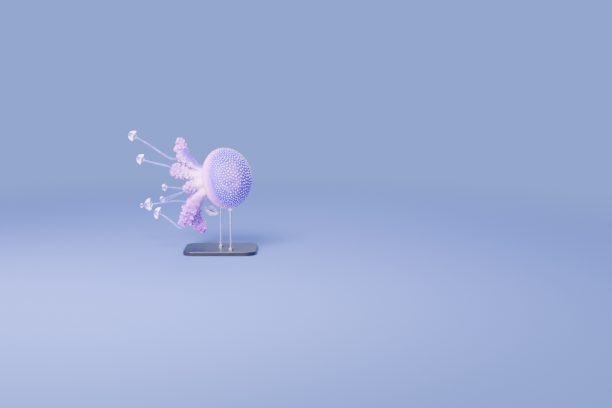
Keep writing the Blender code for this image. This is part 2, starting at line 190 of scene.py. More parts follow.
# The stand and the stage: metres, degrees, and millimetres for the lens. The floor fades into the
# backdrop between the two FLOOR_FADES. A lamp is its name, place, size, watts and colour.
PAD_LENGTH = 0.0125
CAMERA_PLACE = (0.4254, -5.858, 1.0623)
CAMERA_DIP = 8.0
CAMERA_LENS = 70.0
SENSOR_WIDTH = 36.0
GLOW = 1.15
FLOOR_RINGS = (0.5, 2.0, 8.0, 40.0)
FLOOR_SIDES = 96
FLOOR_FADES = (0.6, 3.5)
LAMPS = (
    ("key", (-0.7, -2.2, 2.4), 1.4, 410.0, "#FFE8FA"),
    ("fill", (-0.7, -2.8, 0.4), 1.6, 90.0, "#FFE2F4"),
    ("side", (-2.0, -1.0, 0.6), 1.2, 60.0, "#FFC4EA"),
    ("back", (0.6, 2.3, 2.2), 2.0, 70.0, "#F2EAFF"),
)


def bell_axes():
    """The bell's own three directions in the row frame, as columns: up side, near side, crown."""
    azimuth, rise = math.radians(BELL_AZIMUTH), math.radians(BELL_RISE)
    east, north = math.cos(azimuth), math.sin(azimuth)
    flat, lift = math.cos(rise), math.sin(rise)
    upper = (-lift * east, -lift * north, flat)
    near = (north, -east, 0.0)
    crown = (flat * east, flat * north, lift)
    return np.array((upper, near, crown)).T


BELL_AXES = bell_axes()


def placed(points):
    """Points in bell radii in the bell's frame, as metres in the row frame."""
    return np.asarray(points) * BELL_RADIUS @ BELL_AXES.T + BELL_CENTRE


def mix(a, b, share):
    """What lies a share of the way from a to b."""
    return a + (b - a) * share


def smooth(t):
    """0 to 1 with a level start and end."""
    t = np.clip(t, 0.0, 1.0)
    return t * t * (3.0 - 2.0 * t)


def unit(vectors):
    """The vectors at length one."""
    return vectors / np.linalg.norm(vectors, axis=-1, keepdims=True)


def bezier(control, t):
    """The points at t on the cubic Bezier curve of four control points."""
    a, b, c, d = (np.asarray(point, float) for point in control)
    t = np.asarray(t, float)[..., None]
    u = 1.0 - t
    return a * u**3 + b * (3 * t * u * u) + c * (3 * t * t * u) + d * t**3


def swung(first, second, degrees):
    """Two directions at right angles, both turned by the degrees from the first to the second."""
    a = np.radians(degrees)[..., None]
    return first * np.cos(a) + second * np.sin(a), second * np.cos(a) - first * np.sin(a)


class Arm(NamedTuple):
    """One oral arm. Turns are in degrees round the bell, the rest in bell radii.

    The centreline is a Bezier curve in the plane through the bell's axis: it leaves the disc
    straight down, as far as shaft_down would take it, swings past the elbow and ends at the tip,
    both given as (out, down). The plane itself turns from root_turn to tip_turn on the way.

    wing is how far its wings reach, blunt how long they keep that before the tip, and back how far
    its smooth back bulges. An arm that fills has an inner wing that first reaches in to the middle
    of the bunch.

    blush is how far its frills turn from pale pink to magenta, and web how blue its smooth back is.
    sleeve is how far down it stays smooth all round, and bare how far its back does, as shares of
    its frilled length. late is the share of its blush that comes in only towards the tip.
    """

    root_turn: float
    tip_turn: float
    shaft_down: float
    elbow: tuple
    tip: tuple
    wing: float
    blunt: float
    back: float = 0.03
    fills: bool = True
    blush: float = 0.2
    web: float = 0.0
    sleeve: float = 0.0
    bare: float = 0.5
    late: float = 0.0

    @property
    def control(self):
        """The centreline's four control points, as (out, up)."""
        shaft = ((ARM_ROOT_OUT, ARM_ROOT_DOWN), (ARM_ROOT_OUT, self.shaft_down))
        return [(out, -down) for out, down in (*shaft, self.elbow, self.tip)]

    @property
    def phase(self):
        """Where its waves start, so that no two arms wave alike."""
        return math.radians(1.65 * self.root_turn)

    def turn(self, t):
        """Which way round the bell its plane points at t, in radians."""
        return np.radians(mix(self.root_turn, self.tip_turn, smooth(t)))

    def point(self, t):
        """The centreline's points at t, from 0 at the disc to 1 at the tip, in bell radii."""
        out, up = np.moveaxis(bezier(self.control, t), -1, 0)
        turn = self.turn(t)
        return np.stack((out * np.cos(turn), out * np.sin(turn), up), axis=-1)

    def frame(self, t):
        """(point, direction along the arm, direction out of its smooth back, sideways)."""
        step = 0.002
        along = unit(self.point(t + step) - self.point(t - step))
        turn = self.turn(t)
        side = np.stack((-np.sin(turn), np.cos(turn), np.zeros_like(turn)), axis=-1)
        side = unit(side - along * (side * along).sum(-1, keepdims=True))
        return self.point(t), along, np.cross(along, side), side

    def room(self, t):
        """How far a wing can reach at t before it meets the next arm's."""
        return ARM_SPACING_SHARE * bezier(self.control, t)[..., 0] - 0.003

    def half_width(self, t):
        """Half the shaft's width at t."""
        return np.minimum(SHAFT_ROOM_SHARE * bezier(self.control, t)[..., 0], SHAFT_ACROSS_MOST)

    def ridge(self, u):
        """How far its smooth back stands out at u along the frill."""
        return mix(BACK_AT_SPLIT, BACK_AT_TIP, u**1.5) + self.back * np.sin(math.pi * u)

    def wing_reach(self, u, number):
        """How far one of the wings stands out of the arm at u along the frill.

        It grows from the shaft's width over the first third, rounds off before the tip and keeps
        clear of the next arm's. The inner wing of an arm that fills first reaches in to the middle.
        """
        t = mix(ARM_SPLIT, 1.0, u)
        grown = mix(self.half_width(ARM_SPLIT), self.wing, smooth(u / 0.35))
        rounded = np.sqrt(np.maximum(0.0, 1.0 - u**self.blunt))
        slimmest = mix(1.15, 0.62, u) * CORE_RADIUS
        reach = np.maximum(np.minimum(grown * rounded, self.room(t)), slimmest)
        if number != INNER or not self.fills:
            return reach
        inner = np.minimum(INNER_WING, bezier(self.control, t)[..., 0] - CENTRE_CLEAR)
        filled = smooth(u / 0.15) * (1.0 - smooth((u - 0.35) / 0.35))
        return mix(reach, np.maximum(reach, inner), filled)

    def wing_wave(self, u, number, reach):
        """How far the edge of a wing swings to its side at u: a sine that grows with the reach."""
        wave = np.sin(math.tau * WAVES_PER_ARM * u + self.phase + 2.1 * number) * smooth(u / 0.3)
        if number == INNER and self.fills:
            wave = wave * smooth(2 * u)
        return WING_WAVE * wave * smooth((reach - CORE_RADIUS) / (self.wing - CORE_RADIUS))


class Filament(NamedTuple):
    """The thread that trails from an arm to its club, leaving the frill's inner wing or its tip.

    leaves_at runs from 0 where the frill starts to 1 at its tip. The club's place and the bow are
    in bell radii, the sizes in metres. roll turns the club about the filament, in degrees, and
    clear is how clear the webs between its ribs are.
    """

    arm: int
    leaves_at: float
    club: tuple
    bow: tuple
    radius: float
    club_radius: float
    club_depth: float
    lobe: float
    roll: float
    clear: float = 1.0


ARMS = (
    Arm(5, 5, 1.00, (0.75, 1.98), (1.57, 1.55), 0.250, 7, 0.17, fills=False,
        blush=0.1, web=1, bare=0.7),
    Arm(50, 55, 0.90, (0.60, 1.45), (1.06, 1.48), 0.265, 10, blush=0.12, bare=0.15),
    Arm(95, 100, 0.85, (0.45, 1.30), (0.85, 1.00), 0.210, 5, blush=0.20, bare=0.15),
    Arm(140, 145, 1.15, (0.90, 1.25), (1.62, 1.38), 0.260, 7, blush=0.9, sleeve=0.35, bare=0.4),
    Arm(185, 185, 1.00, (0.85, 2.35), (1.62, 1.35), 0.290, 9, fills=False,
        blush=1, sleeve=0.3, bare=0.4, late=0.8),
    Arm(230, 223, 0.80, (0.55, 1.25), (0.92, 1.15), 0.210, 5, blush=0.15),
    Arm(275, 272, 0.90, (0.55, 1.35), (1.00, 1.20), 0.220, 5, blush=0.35),
    Arm(320, 318, 0.80, (0.55, 1.05), (0.92, 0.72), 0.200, 5, blush=0.25),
)

FILAMENTS = (
    Filament(0, 0.58, (2.012, 0.330, -3.665), (0.00, -0.20, 0), 0.0062, 0.0260, 0.036, 0.24, -12),
    Filament(1, 1.00, (1.132, 1.058, -2.740), (-0.10, -0.15, 0), 0.0060, 0.0245, 0.032, 0.30, -13),
    Filament(2, 1.00, (0.037, 0.962, -1.914), (0.03, -0.10, 0), 0.0042, 0.0165, 0.020, 0.18, 3),
    Filament(3, 1.00, (-0.745, 1.046, -2.350), (0.04, -0.20, 0), 0.0060, 0.0295, 0.026, 0.22, -5),
    Filament(4, 0.37, (-0.466, 0.333, -3.425), (0.05, -0.20, 0), 0.0050, 0.0300, 0.032, 0.22, 29),
    Filament(5, 1.00, (-1.086, -0.619, -1.464), (0, 0, 0), 0.0050, 0.0380, 0.034, 0.20, -37, 0),
    Filament(6, 1.00, (-0.374, -0.538, -3.500), (0.05, -0.15, 0), 0.0042, 0.0165, 0.018, 0.18, 53),
    Filament(7, 1.00, (-0.466, -0.072, -4.045), (-0.70, -0.10, 0), 0.0036, 0.0120, 0.014, 0.15, 7),
)


# ---------------------------------------------------------------- colours and materials


def linear(code):
    """An sRGB hex colour as linear red, green and blue."""
    parts = [int(code[i : i + 2], 16) / 255 for i in (1, 3, 5)]
    return tuple(p / 12.92 if p <= 0.04045 else ((p + 0.055) / 1.055) ** 2.4 for p in parts)


def colour_property(name, description, code):
    return FloatVectorProperty(
        name=name,
        description=description,
        subtype="COLOR",
        min=0.0,
        max=1.0,
        default=linear(code),
    )


def length_property(name, description, metres):
    return FloatProperty(name=name, description=description, default=metres, unit="LENGTH")


def share_property(name, description, share):
    return FloatProperty(name=name, description=description, default=share, subtype="FACTOR")


def count_property(name, description, count, most):
    return IntProperty(name=name, description=description, default=count, min=0, max=most)


class BellLooks(PropertyGroup):
    spot_count: count_property("Spots", "How many white spots are sown on the bell", 900, 3000)
    spot_radius: length_property("Spot radius", "Radius of a spot half way down", 0.0026)
    spot_height: length_property("Spot height", "How far a spot stands proud", 0.0011)
    crown_colour: colour_property("Crown", "Jelly where it is thickest, at the crown", "#4A00C2")
    side_colour: colour_property("Side", "Jelly half way down the bell", "#5C00DC")
    margin_colour: colour_property("Margin", "Thin edge of the bell with its lappets", "#FFA0F6")
    lining_colour: colour_property("Lining", "Milky canals in the lining of the hollow", "#DC88FF")
    spot_colour: colour_property("Spot", "White pigment granules", "#FBF7FF")
    cover: share_property("Cover", "How much the jelly hides behind it", 0.33)


class ArmLooks(PropertyGroup):
    trunk_colour: colour_property("Trunk", "Disc, trunk and upper arms", "#FFD4FA")
    frill_colour: colour_property("Frill", "Frills of the upper arms", "#F888F8")
    blush_colour: colour_property("Blush", "Frills of the lower arms", "#DC50FA")
    tip_colour: colour_property("Tip", "Ends of the lower arms", "#C41CE4")
    web_colour: colour_property("Web", "Smooth back of the upper arm", "#5C08D0")
    # Painted shade: the hollow colour darkens the depths between the frills, the ruffles' roots and
    # random pits.
    hollow_colour: colour_property("Hollow", "Depths between the frills", "#9448EC")
    # Painted highlight: the edge colour pales the frills' free edges and the knobs' tips.
    edge_highlight_colour: colour_property("Edge", "Free edges of the frills", "#FFEFFF")
    ruffle_height: length_property("Ruffle height", "How far a ruffle stands out", 0.0135)
    lobe_length: length_property("Lobe length", "From one lobe of a frill to the next", 0.026)
    ruffle_wave: length_property("Ruffle wave", "Length of one fold of a ruffle", 0.0170)
    ruffle_thickness: length_property("Ruffle thickness", "Thickness at its root", 0.0018)
    florets: count_property("Florets", "Mouth knobs on each arm", 420, 2000)
    floret_radius: length_property("Floret radius", "Radius of a mouth knob", 0.0042)


class TrailLooks(PropertyGroup):
    filament_colour: colour_property("Filament", "The trailing threads", "#6E58F2")
    filament_cover: share_property("Filament cover", "How solid a thread looks", 0.36)
    club_colour: colour_property("Club", "The clubs' thick white ribs", "#FFFBFF")
    hollow_colour: colour_property("Hollow", "The clubs' thin webs and hollows", "#9060F4")


class StageLooks(PropertyGroup):
    floor_colour: colour_property("Floor", "Paint of the pale floor", "#5470B2")
    far_colour: colour_property("Backdrop", "What is beyond the floor", "#86A2FF")
    base_colour: colour_property("Base", "Lacquer of the base", "#191A1E")
    steel_colour: colour_property("Steel", "Brushed steel of the rods", "#B9BCC2")
    pad_colour: colour_property("Pad", "Silicone pads on the rods", "#D9D6E6")


def set_sockets(tree, node, inputs):
    """Gives each named socket of a node a value, a colour or the output of another node."""
    for socket, value in inputs.items():
        into = node.inputs[socket]
        if isinstance(value, bpy.types.NodeSocket):
            tree.links.new(value, into)
        elif into.type == "RGBA":
            into.default_value = (*value[:3], 1.0)
        else:
            into.default_value = value


def add_node(tree, kind, inputs=None, stops=(), out=0, **settings):
    """Adds a shader node with its settings and links, and gives back the output that out names.

    stops are the places and the colours of a colour ramp.
    """
    made = tree.nodes.new(f"ShaderNode{kind}")
    for key, value in settings.items():
        setattr(made, key, value)
    set_sockets(tree, made, inputs or {})
    for number, (place, shade) in enumerate(stops):
        ramp = made.color_ramp.elements
        stop = ramp[number] if number < 2 else ramp.new(place)
        stop.position = place
        stop.color = (*shade[:3], 1.0)
    return made.outputs[out]


def new_material(name, *values):
    """A new material, its node tree, its Principled shader, the Object coordinates, and the mesh's
    values that it reads.
    """
    made = bpy.data.materials.new(name)
    made.use_nodes = True
    tree = made.node_tree
    place = add_node(tree, "TexCoord", out="Object")
    reads = [add_node(tree, "Attribute", out="Fac", attribute_name=value) for value in values]
    return made, tree, tree.nodes["Principled BSDF"], place, *reads


def grey(value):
    return (value, value, value)


def between(first, second, share=0.5):
    """The colour a share of the way from one to the other."""
    return [mix(a, b, share) for a, b in zip(first, second)]


def drifted(tree, value, noise, most):
    """The value with its borders moved to and fro by the noise, by most at the most."""
    inputs = {0: noise, 1: 2 * most, 2: -most}
    shift = add_node(tree, "Math", inputs, operation="MULTIPLY_ADD")
    return add_node(tree, "Math", {0: value, 1: shift}, use_clamp=True)


def light_passes(tree, cover):
    """The cover, cut to a third for light on its way in: jelly guides light on, so it casts only a
    faint shadow on what lies inside it.
    """
    shadow = add_node(tree, "LightPath", out="Is Shadow Ray")
    inputs = {0: shadow, 1: -SHADOW_CUT, 2: 1.0}
    share = add_node(tree, "Math", inputs, operation="MULTIPLY_ADD")
    return add_node(tree, "Math", {0: cover, 1: share}, operation="MULTIPLY")


def clear_mesoglea(looks):
    """Mesoglea, the water-rich jelly of the bell: a soft wet sheen over a violet depth.

    angle runs from 0 at the crown to 1 at the edge. The jelly is deepest in colour at the crown,
    where the wall is thickest, and turns milky pink at the thin margin. clear is 0.9 on the
    viewer's side, where the disc shines through, and 0 on the far side, which is dense. Faint
    clouds of 14 mm and a skin grain of 2.5 mm, coarser than life so that it shows, keep it from
    looking like glass.
    """
    made, tree, shader, place, angle, clear = new_material("clear_mesoglea", "angle", "clear")
    inputs = {"Vector": place, "Scale": 1 / BELL_CLOUDS, "Detail": 3.0, "Roughness": 0.6}
    drift = drifted(tree, angle, add_node(tree, "TexNoise", inputs), 0.06)
    tints = (
        (0.10, looks.crown_colour),
        (0.60, looks.side_colour),
        (0.69, between(looks.side_colour, looks.margin_colour)),
        (0.77, looks.margin_colour),
    )
    covers = ((0.38, grey(looks.cover)), (0.50, grey(0.80)), (0.64, grey(0.94)))
    cover = add_node(tree, "ValToRGB", {"Fac": angle}, covers)
    dense = add_node(tree, "Math", {0: CLEAREST, 1: clear}, operation="SUBTRACT")
    whole = add_node(tree, "Math", {0: cover, 1: dense}, operation="MAXIMUM")
    grain = add_node(tree, "TexNoise", {"Vector": place, "Scale": 1 / BELL_GRAIN})
    bumps = {"Height": grain, "Strength": 0.20, "Distance": 0.0004}
    inputs = {
        "Base Color": add_node(tree, "ValToRGB", {"Fac": drift}, tints),
        "Roughness": 0.40,
        "IOR": WATER_IOR,
        "Specular IOR Level": 0.15,
        "Alpha": light_passes(tree, whole),
        "Normal": add_node(tree, "Bump", bumps),
    }
    set_sockets(tree, shader, inputs)
    return made


def lining_mesoglea(looks):
    """The lining of the hollow: clear violet jelly with sixteen milky canals that run out to the
    margin, where it turns as milky as the outside. The canals' edges waver in clouds of 18 mm.
    """
    made, tree, shader, place, angle, canal = new_material("lining_mesoglea", "angle", "canal")
    inputs = {"Vector": place, "Scale": 1 / LINING_CLOUDS, "Detail": 3.0}
    canal = drifted(tree, canal, add_node(tree, "TexNoise", inputs), 0.08)
    inputs = {"Value": angle, "From Min": 0.76, "From Max": 0.94}
    edge = add_node(tree, "MapRange", inputs, interpolation_type="SMOOTHSTEP")
    inputs = {0: canal, 6: looks.side_colour, 7: looks.lining_colour}
    inner = add_node(tree, "Mix", inputs, out=2, data_type="RGBA")
    inputs = {0: edge, 6: inner, 7: looks.margin_colour}
    tint = add_node(tree, "Mix", inputs, out=2, data_type="RGBA")
    cover = add_node(tree, "MapRange", {"Value": canal, "To Min": 0.30, "To Max": 0.70})
    rimmed = add_node(tree, "Math", {0: edge, 1: 0.88}, operation="MULTIPLY")
    whole = add_node(tree, "Math", {0: cover, 1: rimmed}, operation="MAXIMUM")
    inputs = {
        "Base Color": tint,
        "Roughness": 0.40,
        "IOR": WATER_IOR,
        "Specular IOR Level": 0.15,
        "Alpha": light_passes(tree, whole),
    }
    set_sockets(tree, shader, inputs)
    return made


def white_pigment(looks):
    """White pigment granules packed under the skin: chalky and opaque, in uneven 4 mm patches."""
    made, tree, shader, place = new_material("white_pigment")
    patches = add_node(tree, "TexNoise", {"Vector": place, "Scale": 1 / PIGMENT_PATCHES})
    thin = between(looks.spot_colour, looks.lining_colour, 0.3)
    stops = ((0.25, thin), (0.45, looks.spot_colour))
    tint = add_node(tree, "ValToRGB", {"Fac": patches}, stops)
    set_sockets(tree, shader, {"Base Color": tint, "Roughness": 0.45})
    return made


def milky_mesoglea(name, looks, frilled):
    """Milky mesoglea of the arms: soft, light let in a few millimetres, wet but not glassy.

    along runs from 0 at the disc to 1 at a tip, blush from pale pink arms to magenta ones, web is 1
    on a smooth violet back, and rim runs from 0 in the depths between frills through PLAIN_RIM on
    plain flesh to 1 at a frill's free edge. Below PLAIN_RIM the hollow colour is painted shade in
    the depths; above it the edge colour is a painted highlight on the free edges. The mottling is
    9 mm across, the grain 3.5 mm, and the darker pits of the frills, painted shade of holes in
    random places, 16 mm, coarser than life so that they show.
    """
    made, tree, shader, place, *values = new_material(name, "along", "blush", "web", "rim")
    along, blush, web, rim = values
    inputs = {"Vector": place, "Scale": 1 / FLESH_MOTTLE, "Detail": 3.0, "Roughness": 0.6}
    along = drifted(tree, along, add_node(tree, "TexNoise", inputs), 0.09)
    stops = ((0.42, looks.trunk_colour), (0.85, looks.frill_colour))
    pale = add_node(tree, "ValToRGB", {"Fac": along}, stops)
    stops = (
        (0.24, looks.trunk_colour),
        (0.42, looks.frill_colour),
        (0.74, looks.blush_colour),
        (1.00, looks.tip_colour),
    )
    rosy = add_node(tree, "ValToRGB", {"Fac": along}, stops)
    # Painted shade and highlight: below PLAIN_RIM, depth mixes in the hollow colour as painted
    # shade; above it, light mixes in the edge colour as a painted highlight.
    depth = add_node(tree, "MapRange", {"Value": rim, "From Max": PLAIN_RIM})
    light = add_node(tree, "MapRange", {"Value": rim, "From Min": PLAIN_RIM})
    mixed = {"out": 2, "data_type": "RGBA"}
    flesh = add_node(tree, "Mix", {0: blush, 6: pale, 7: rosy}, **mixed)
    backed = add_node(tree, "Mix", {0: web, 6: flesh, 7: looks.web_colour}, **mixed)
    deep = add_node(tree, "Mix", {0: 0.45, 6: flesh, 7: looks.hollow_colour}, **mixed)
    edge = add_node(tree, "Mix", {0: 0.65, 6: flesh, 7: looks.edge_highlight_colour}, **mixed)
    shaded = add_node(tree, "Mix", {0: depth, 6: deep, 7: backed}, **mixed)
    tint = add_node(tree, "Mix", {0: light, 6: shaded, 7: edge}, **mixed)
    # Painted shade: random 16 mm patches of the frills take the hollow colour, as if shaded pits.
    if frilled:
        inputs = {"Vector": place, "Scale": 1 / FRILL_PIT_SHADE, "Detail": 1.0}
        lumps = add_node(tree, "TexNoise", inputs)
        inputs = {"Value": lumps, "From Min": 0.46, "From Max": 0.36, "To Max": 0.7}
        pit_shade = add_node(tree, "MapRange", inputs)
        tint = add_node(tree, "Mix", {0: pit_shade, 6: tint, 7: looks.hollow_colour}, **mixed)
    grain = add_node(tree, "TexNoise", {"Vector": place, "Scale": 1 / FLESH_GRAIN})
    bumps = {"Height": grain, "Strength": 0.35 if frilled else 0.20, "Distance": 0.0006}
    inputs = {
        "Base Color": tint,
        "Roughness": 0.42,
        "IOR": FLESH_IOR,
        "Specular IOR Level": 0.2,
        "Subsurface Weight": 0.25,
        "Subsurface Radius": (0.008, 0.006, 0.010),
        "Subsurface Scale": 0.6,
        "Normal": add_node(tree, "Bump", bumps),
    }
    set_sockets(tree, shader, inputs)
    return made


def thread_mesoglea(looks):
    """The filaments' jelly: thin, glassy violet threads with clearer and cloudier 20 mm lengths."""
    made, tree, shader, place = new_material("thread_mesoglea")
    lengths = add_node(tree, "TexNoise", {"Vector": place, "Scale": 1 / THREAD_CLOUDS})
    cloudy = between(looks.filament_colour, looks.club_colour, 0.3)
    stops = ((0.35, looks.filament_colour), (0.65, cloudy))
    inputs = {
        "Base Color": add_node(tree, "ValToRGB", {"Fac": lengths}, stops),
        "Roughness": 0.30,
        "IOR": WATER_IOR,
        "Alpha": looks.filament_cover,
    }
    set_sockets(tree, shader, inputs)
    return made


def club_mesoglea(looks):
    """The clubs' firm jelly: white pigment where rim is 1, clear violet webs where it is 0. The
    border between them wavers in clouds of 6 mm.
    """
    made, tree, shader, place, rim = new_material("club_mesoglea", "rim")
    clouds = add_node(tree, "TexNoise", {"Vector": place, "Scale": 1 / CLUB_CLOUDS})
    rib = drifted(tree, rim, clouds, 0.12)
    stops = ((0.20, looks.hollow_colour), (0.62, looks.club_colour))
    cover = {"Value": rib, "From Min": 0.1, "From Max": 0.6, "To Min": 0.38}
    inputs = {
        "Base Color": add_node(tree, "ValToRGB", {"Fac": rib}, stops),
        "Roughness": 0.35,
        "IOR": FLESH_IOR,
        "Alpha": add_node(tree, "MapRange", cover),
    }
    set_sockets(tree, shader, inputs)
    return made


def satin_lacquer(looks):
    """Black lacquer on wood, rubbed to a satin: dark and even, with rubbed patches of 12 mm."""
    made, tree, shader, place = new_material("satin_lacquer")
    inputs = {"Vector": place, "Scale": 1 / RUBBED_PATCHES, "Detail": 4.0}
    rubbed = add_node(tree, "TexNoise", inputs)
    lighter = [1.35 * part for part in looks.base_colour]
    stops = ((0.3, looks.base_colour), (0.7, lighter))
    inputs = {
        "Base Color": add_node(tree, "ValToRGB", {"Fac": rubbed}, stops),
        "Roughness": add_node(tree, "MapRange", {"Value": rubbed, "To Min": 0.26, "To Max": 0.40}),
        "IOR": LACQUER_IOR,
    }
    set_sockets(tree, shader, inputs)
    return made


def brushed_steel(name, looks, pad_from):
    """Stainless steel brushed along the rod, with a milky silicone pad above the height pad_from.

    The brush lines are 0.5 mm apart round the rod, drawn 1 mm apart so that they show.
    """
    made, tree, shader, place = new_material(name)
    height = add_node(tree, "SeparateXYZ", {"Vector": place}, out="Z")
    on_pad = add_node(tree, "Math", {0: height, 1: pad_from}, operation="GREATER_THAN")
    drawn = add_node(tree, "Mapping", {"Vector": place, "Scale": (1.0, 1.0, 0.02)})
    inputs = {"Vector": drawn, "Scale": 1 / BRUSH_LINES, "Detail": 1.0}
    lines = add_node(tree, "TexNoise", inputs)
    shades = {0: on_pad, 6: looks.steel_colour, 7: looks.pad_colour}
    inputs = {
        "Base Color": add_node(tree, "Mix", shades, out=2, data_type="RGBA"),
        "Metallic": add_node(tree, "Math", {0: 1.0, 1: on_pad}, operation="SUBTRACT"),
        "Roughness": add_node(tree, "MapRange", {"Value": lines, "To Min": 0.22, "To Max": 0.42}),
    }
    set_sockets(tree, shader, inputs)
    return made


# ---------------------------------------------------------------- meshes


class Batch:
    """Points and faces gathered from many surfaces, and written as one mesh.

    values hold one number a point for the materials; uv is each point's place on the map.
    """

    VALUES = ("angle", "canal", "clear", "along", "blush", "web", "rim")

    def __init__(self):
        self.points = []
        self.quads = []
        self.triangles = []
        self.quad_finish = []
        self.triangle_finish = []
        self.values = {name: [] for name in self.VALUES}
        self.uv = []
        self.count = 0

    def add(self, points, quads, triangles=None, finish=0, uv=None, **values):
        """Adds points in the row frame, with their faces; finish is a slot, or one a quad."""
        points = points.reshape(-1, 3)
        triangles = np.zeros((0, 3), int) if triangles is None else triangles
        self.points.append(points)
        self.quads.append(quads + self.count)
        self.triangles.append(triangles + self.count)
        self.quad_finish.append(np.broadcast_to(finish, len(quads)))
        self.triangle_finish.append(np.full(len(triangles), np.min(finish)))
        for name in self.VALUES:
            given = np.asarray(values.get(name, 0.0), float).ravel()
            self.values[name].append(np.broadcast_to(given, len(points)))
        if uv is not None:
            self.uv.append(uv.reshape(-1, 2))
        self.count += len(points)

    def mesh(self, name, materials):
        """The mesh object, shaded smooth, with its values as attributes and its map if any."""
        points = np.concatenate(self.points)
        quads = np.concatenate(self.quads)
        triangles = np.concatenate(self.triangles)
        corners = np.concatenate((quads.ravel(), triangles.ravel())).astype(np.int32)
        sizes = np.concatenate((np.full(len(quads), 4), np.full(len(triangles), 3)))
        starts = (np.cumsum(sizes) - sizes).astype(np.int32)
        finish = np.concatenate((*self.quad_finish, *self.triangle_finish)).astype(np.int32)
        data = bpy.data.meshes.new(name)
        data.vertices.add(len(points))
        data.vertices.foreach_set("co", points.astype(np.float32).ravel())
        data.loops.add(len(corners))
        data.loops.foreach_set("vertex_index", corners)
        data.polygons.add(len(sizes))
        data.polygons.foreach_set("loop_start", starts)
        data.polygons.foreach_set("material_index", finish)
        for key, parts in self.values.items():
            values = np.concatenate(parts).astype(np.float32)
            if np.any(values):
                data.attributes.new(key, "FLOAT", "POINT").data.foreach_set("value", values)
        if self.uv:
            uv = np.concatenate(self.uv)[corners].astype(np.float32)
            data.uv_layers.new(name="OFBake").data.foreach_set("uv", uv.ravel())
        data.update(calc_edges=True)
        if data.validate():
            raise RuntimeError(f"{name} had faces that Blender can't use")
        data.shade_smooth()
        for material in materials:
            data.materials.append(material)
        obj = bpy.data.objects.new(name, data)
        bpy.context.scene.collection.objects.link(obj)
        return obj


def ring_quads(rings, sides):
    """Quads of a grid of rings, each closed round its sides, facing out where rings turn left."""
    ring = np.arange(rings - 1)[:, None] * sides
    here = np.arange(sides)[None, :]
    there = (here + 1) % sides
    corners = (ring + here, ring + there, ring + sides + there, ring + sides + here)
    return np.stack(corners, axis=-1).reshape(-1, 4)


def end_fans(rings, sides):
    """Triangles that close both ends of such a grid, on two more points after the grid's own."""
    here = np.arange(sides)
    there = (here + 1) % sides
    last = (rings - 1) * sides
    first_pole = np.full(sides, rings * sides)
    start = np.stack((there, here, first_pole), axis=-1)
    end = np.stack((last + here, last + there, first_pole + 1), axis=-1)
    return np.concatenate((start, end))


def dome_faces(rings, sides):
    """(quads, triangles) of rings that widen below one top point, which comes after the grid's."""
    return ring_quads(rings, sides)[:, ::-1], end_fans(rings, sides)[:sides, ::-1]


def copied(faces, count, points):
    """The faces of count copies of a small shape, each copy with as many points of its own."""
    first = np.arange(count)[:, None, None] * points
    return (faces + first).reshape(-1, faces.shape[1])


def with_ends(grid, ends=None):
    """The numbers of a grid of rings in a row, and then those of its two poles: if no others are
    given, the means of its first and its last ring.
    """
    if ends is None:
        ends = np.stack((grid[0].mean(0), grid[-1].mean(0)))
    return np.concatenate((grid.reshape(-1, *grid.shape[2:]), ends))


def add_tube(batch, rings, finish=0, poles=None, uv=None, ends=(), **values):
    """Adds closed rings of points (rings, sides, 3), capped with a fan at each end.

    Each value has one number in all, one a ring, or one a point of the grid. ends gives a value's
    numbers at the two poles, where they aren't the means of their rings.
    """
    count, sides = rings.shape[:2]
    if uv is not None:
        uv = with_ends(uv)
    for name, value in values.items():
        value = np.asarray(value, float)
        if value.ndim == 1:
            value = value[:, None]
        values[name] = with_ends(np.broadcast_to(value, (count, sides)), dict(ends).get(name))
    points = with_ends(rings, poles)
    batch.add(points, ring_quads(count, sides), end_fans(count, sides), finish, uv, **values)


def on_map(share):
    """A share of a wing's length or of a whole turn, as a place on the map."""
    return mix(MAP_EDGE, 1 - MAP_EDGE, share)


# ---------------------------------------------------------------- the bell


def bell_outside(angle):
    """The outer skin at an angle from the crown: (out, up), one ellipse above 90 and one below."""
    a = np.radians(angle)
    height = np.where(angle < 90, CROWN_HEIGHT, SKIRT_DEPTH)
    return np.stack((np.sin(a), height * np.cos(a)), axis=-1)


def bell_inward(angle):
    """The direction into the wall, at right angles to the outer skin."""
    step = 0.5
    run = bell_outside(angle + step) - bell_outside(angle - step)
    return unit(np.stack((run[..., 1], -run[..., 0]), axis=-1))


def bell_wall(angle):
    """The wall's thickness, which falls from the crown to the edge."""
    return mix(WALL_AT_CROWN, WALL_AT_EDGE, (np.asarray(angle) / MARGIN_END) ** 1.2)


def margin_end(turn):
    """The edge's angle from the crown at a turn: rounded lappets, cut deepest at each octant."""
    lappet = turn / 360 * LAPPETS
    cut = np.abs(np.cos(math.pi * lappet)) ** 2.5
    nearest = np.round(lappet) % LAPPETS_PER_OCTANT
    return MARGIN_END - LAPPET_DEPTH * cut * np.where(nearest == 0, 1.5, 1.0)


def furrow(angle, turn):
    """How deep the skin dips between two lappets, fading up the bell."""
    cut = np.abs(np.cos(math.pi * turn / 360 * LAPPETS)) ** 3
    share = smooth((angle - FURROW_START) / (MARGIN_END - FURROW_START))
    return FURROW_DEPTH * cut * share


def around(out_up, turn):
    """(out, up) turned round the bell's axis."""
    out, up = out_up[..., 0], out_up[..., 1]
    a = np.radians(turn)
    return np.stack((out * np.cos(a), out * np.sin(a), up), axis=-1)


def bell_skin(angle, turn, depth):
    """A point of the wall: on the outer skin at depth 0, on the inner skin at depth 1."""
    sunk = furrow(angle, turn) * (1 - 1.6 * depth) + bell_wall(angle) * depth
    return around(bell_outside(angle) + bell_inward(angle) * sunk[..., None], turn)


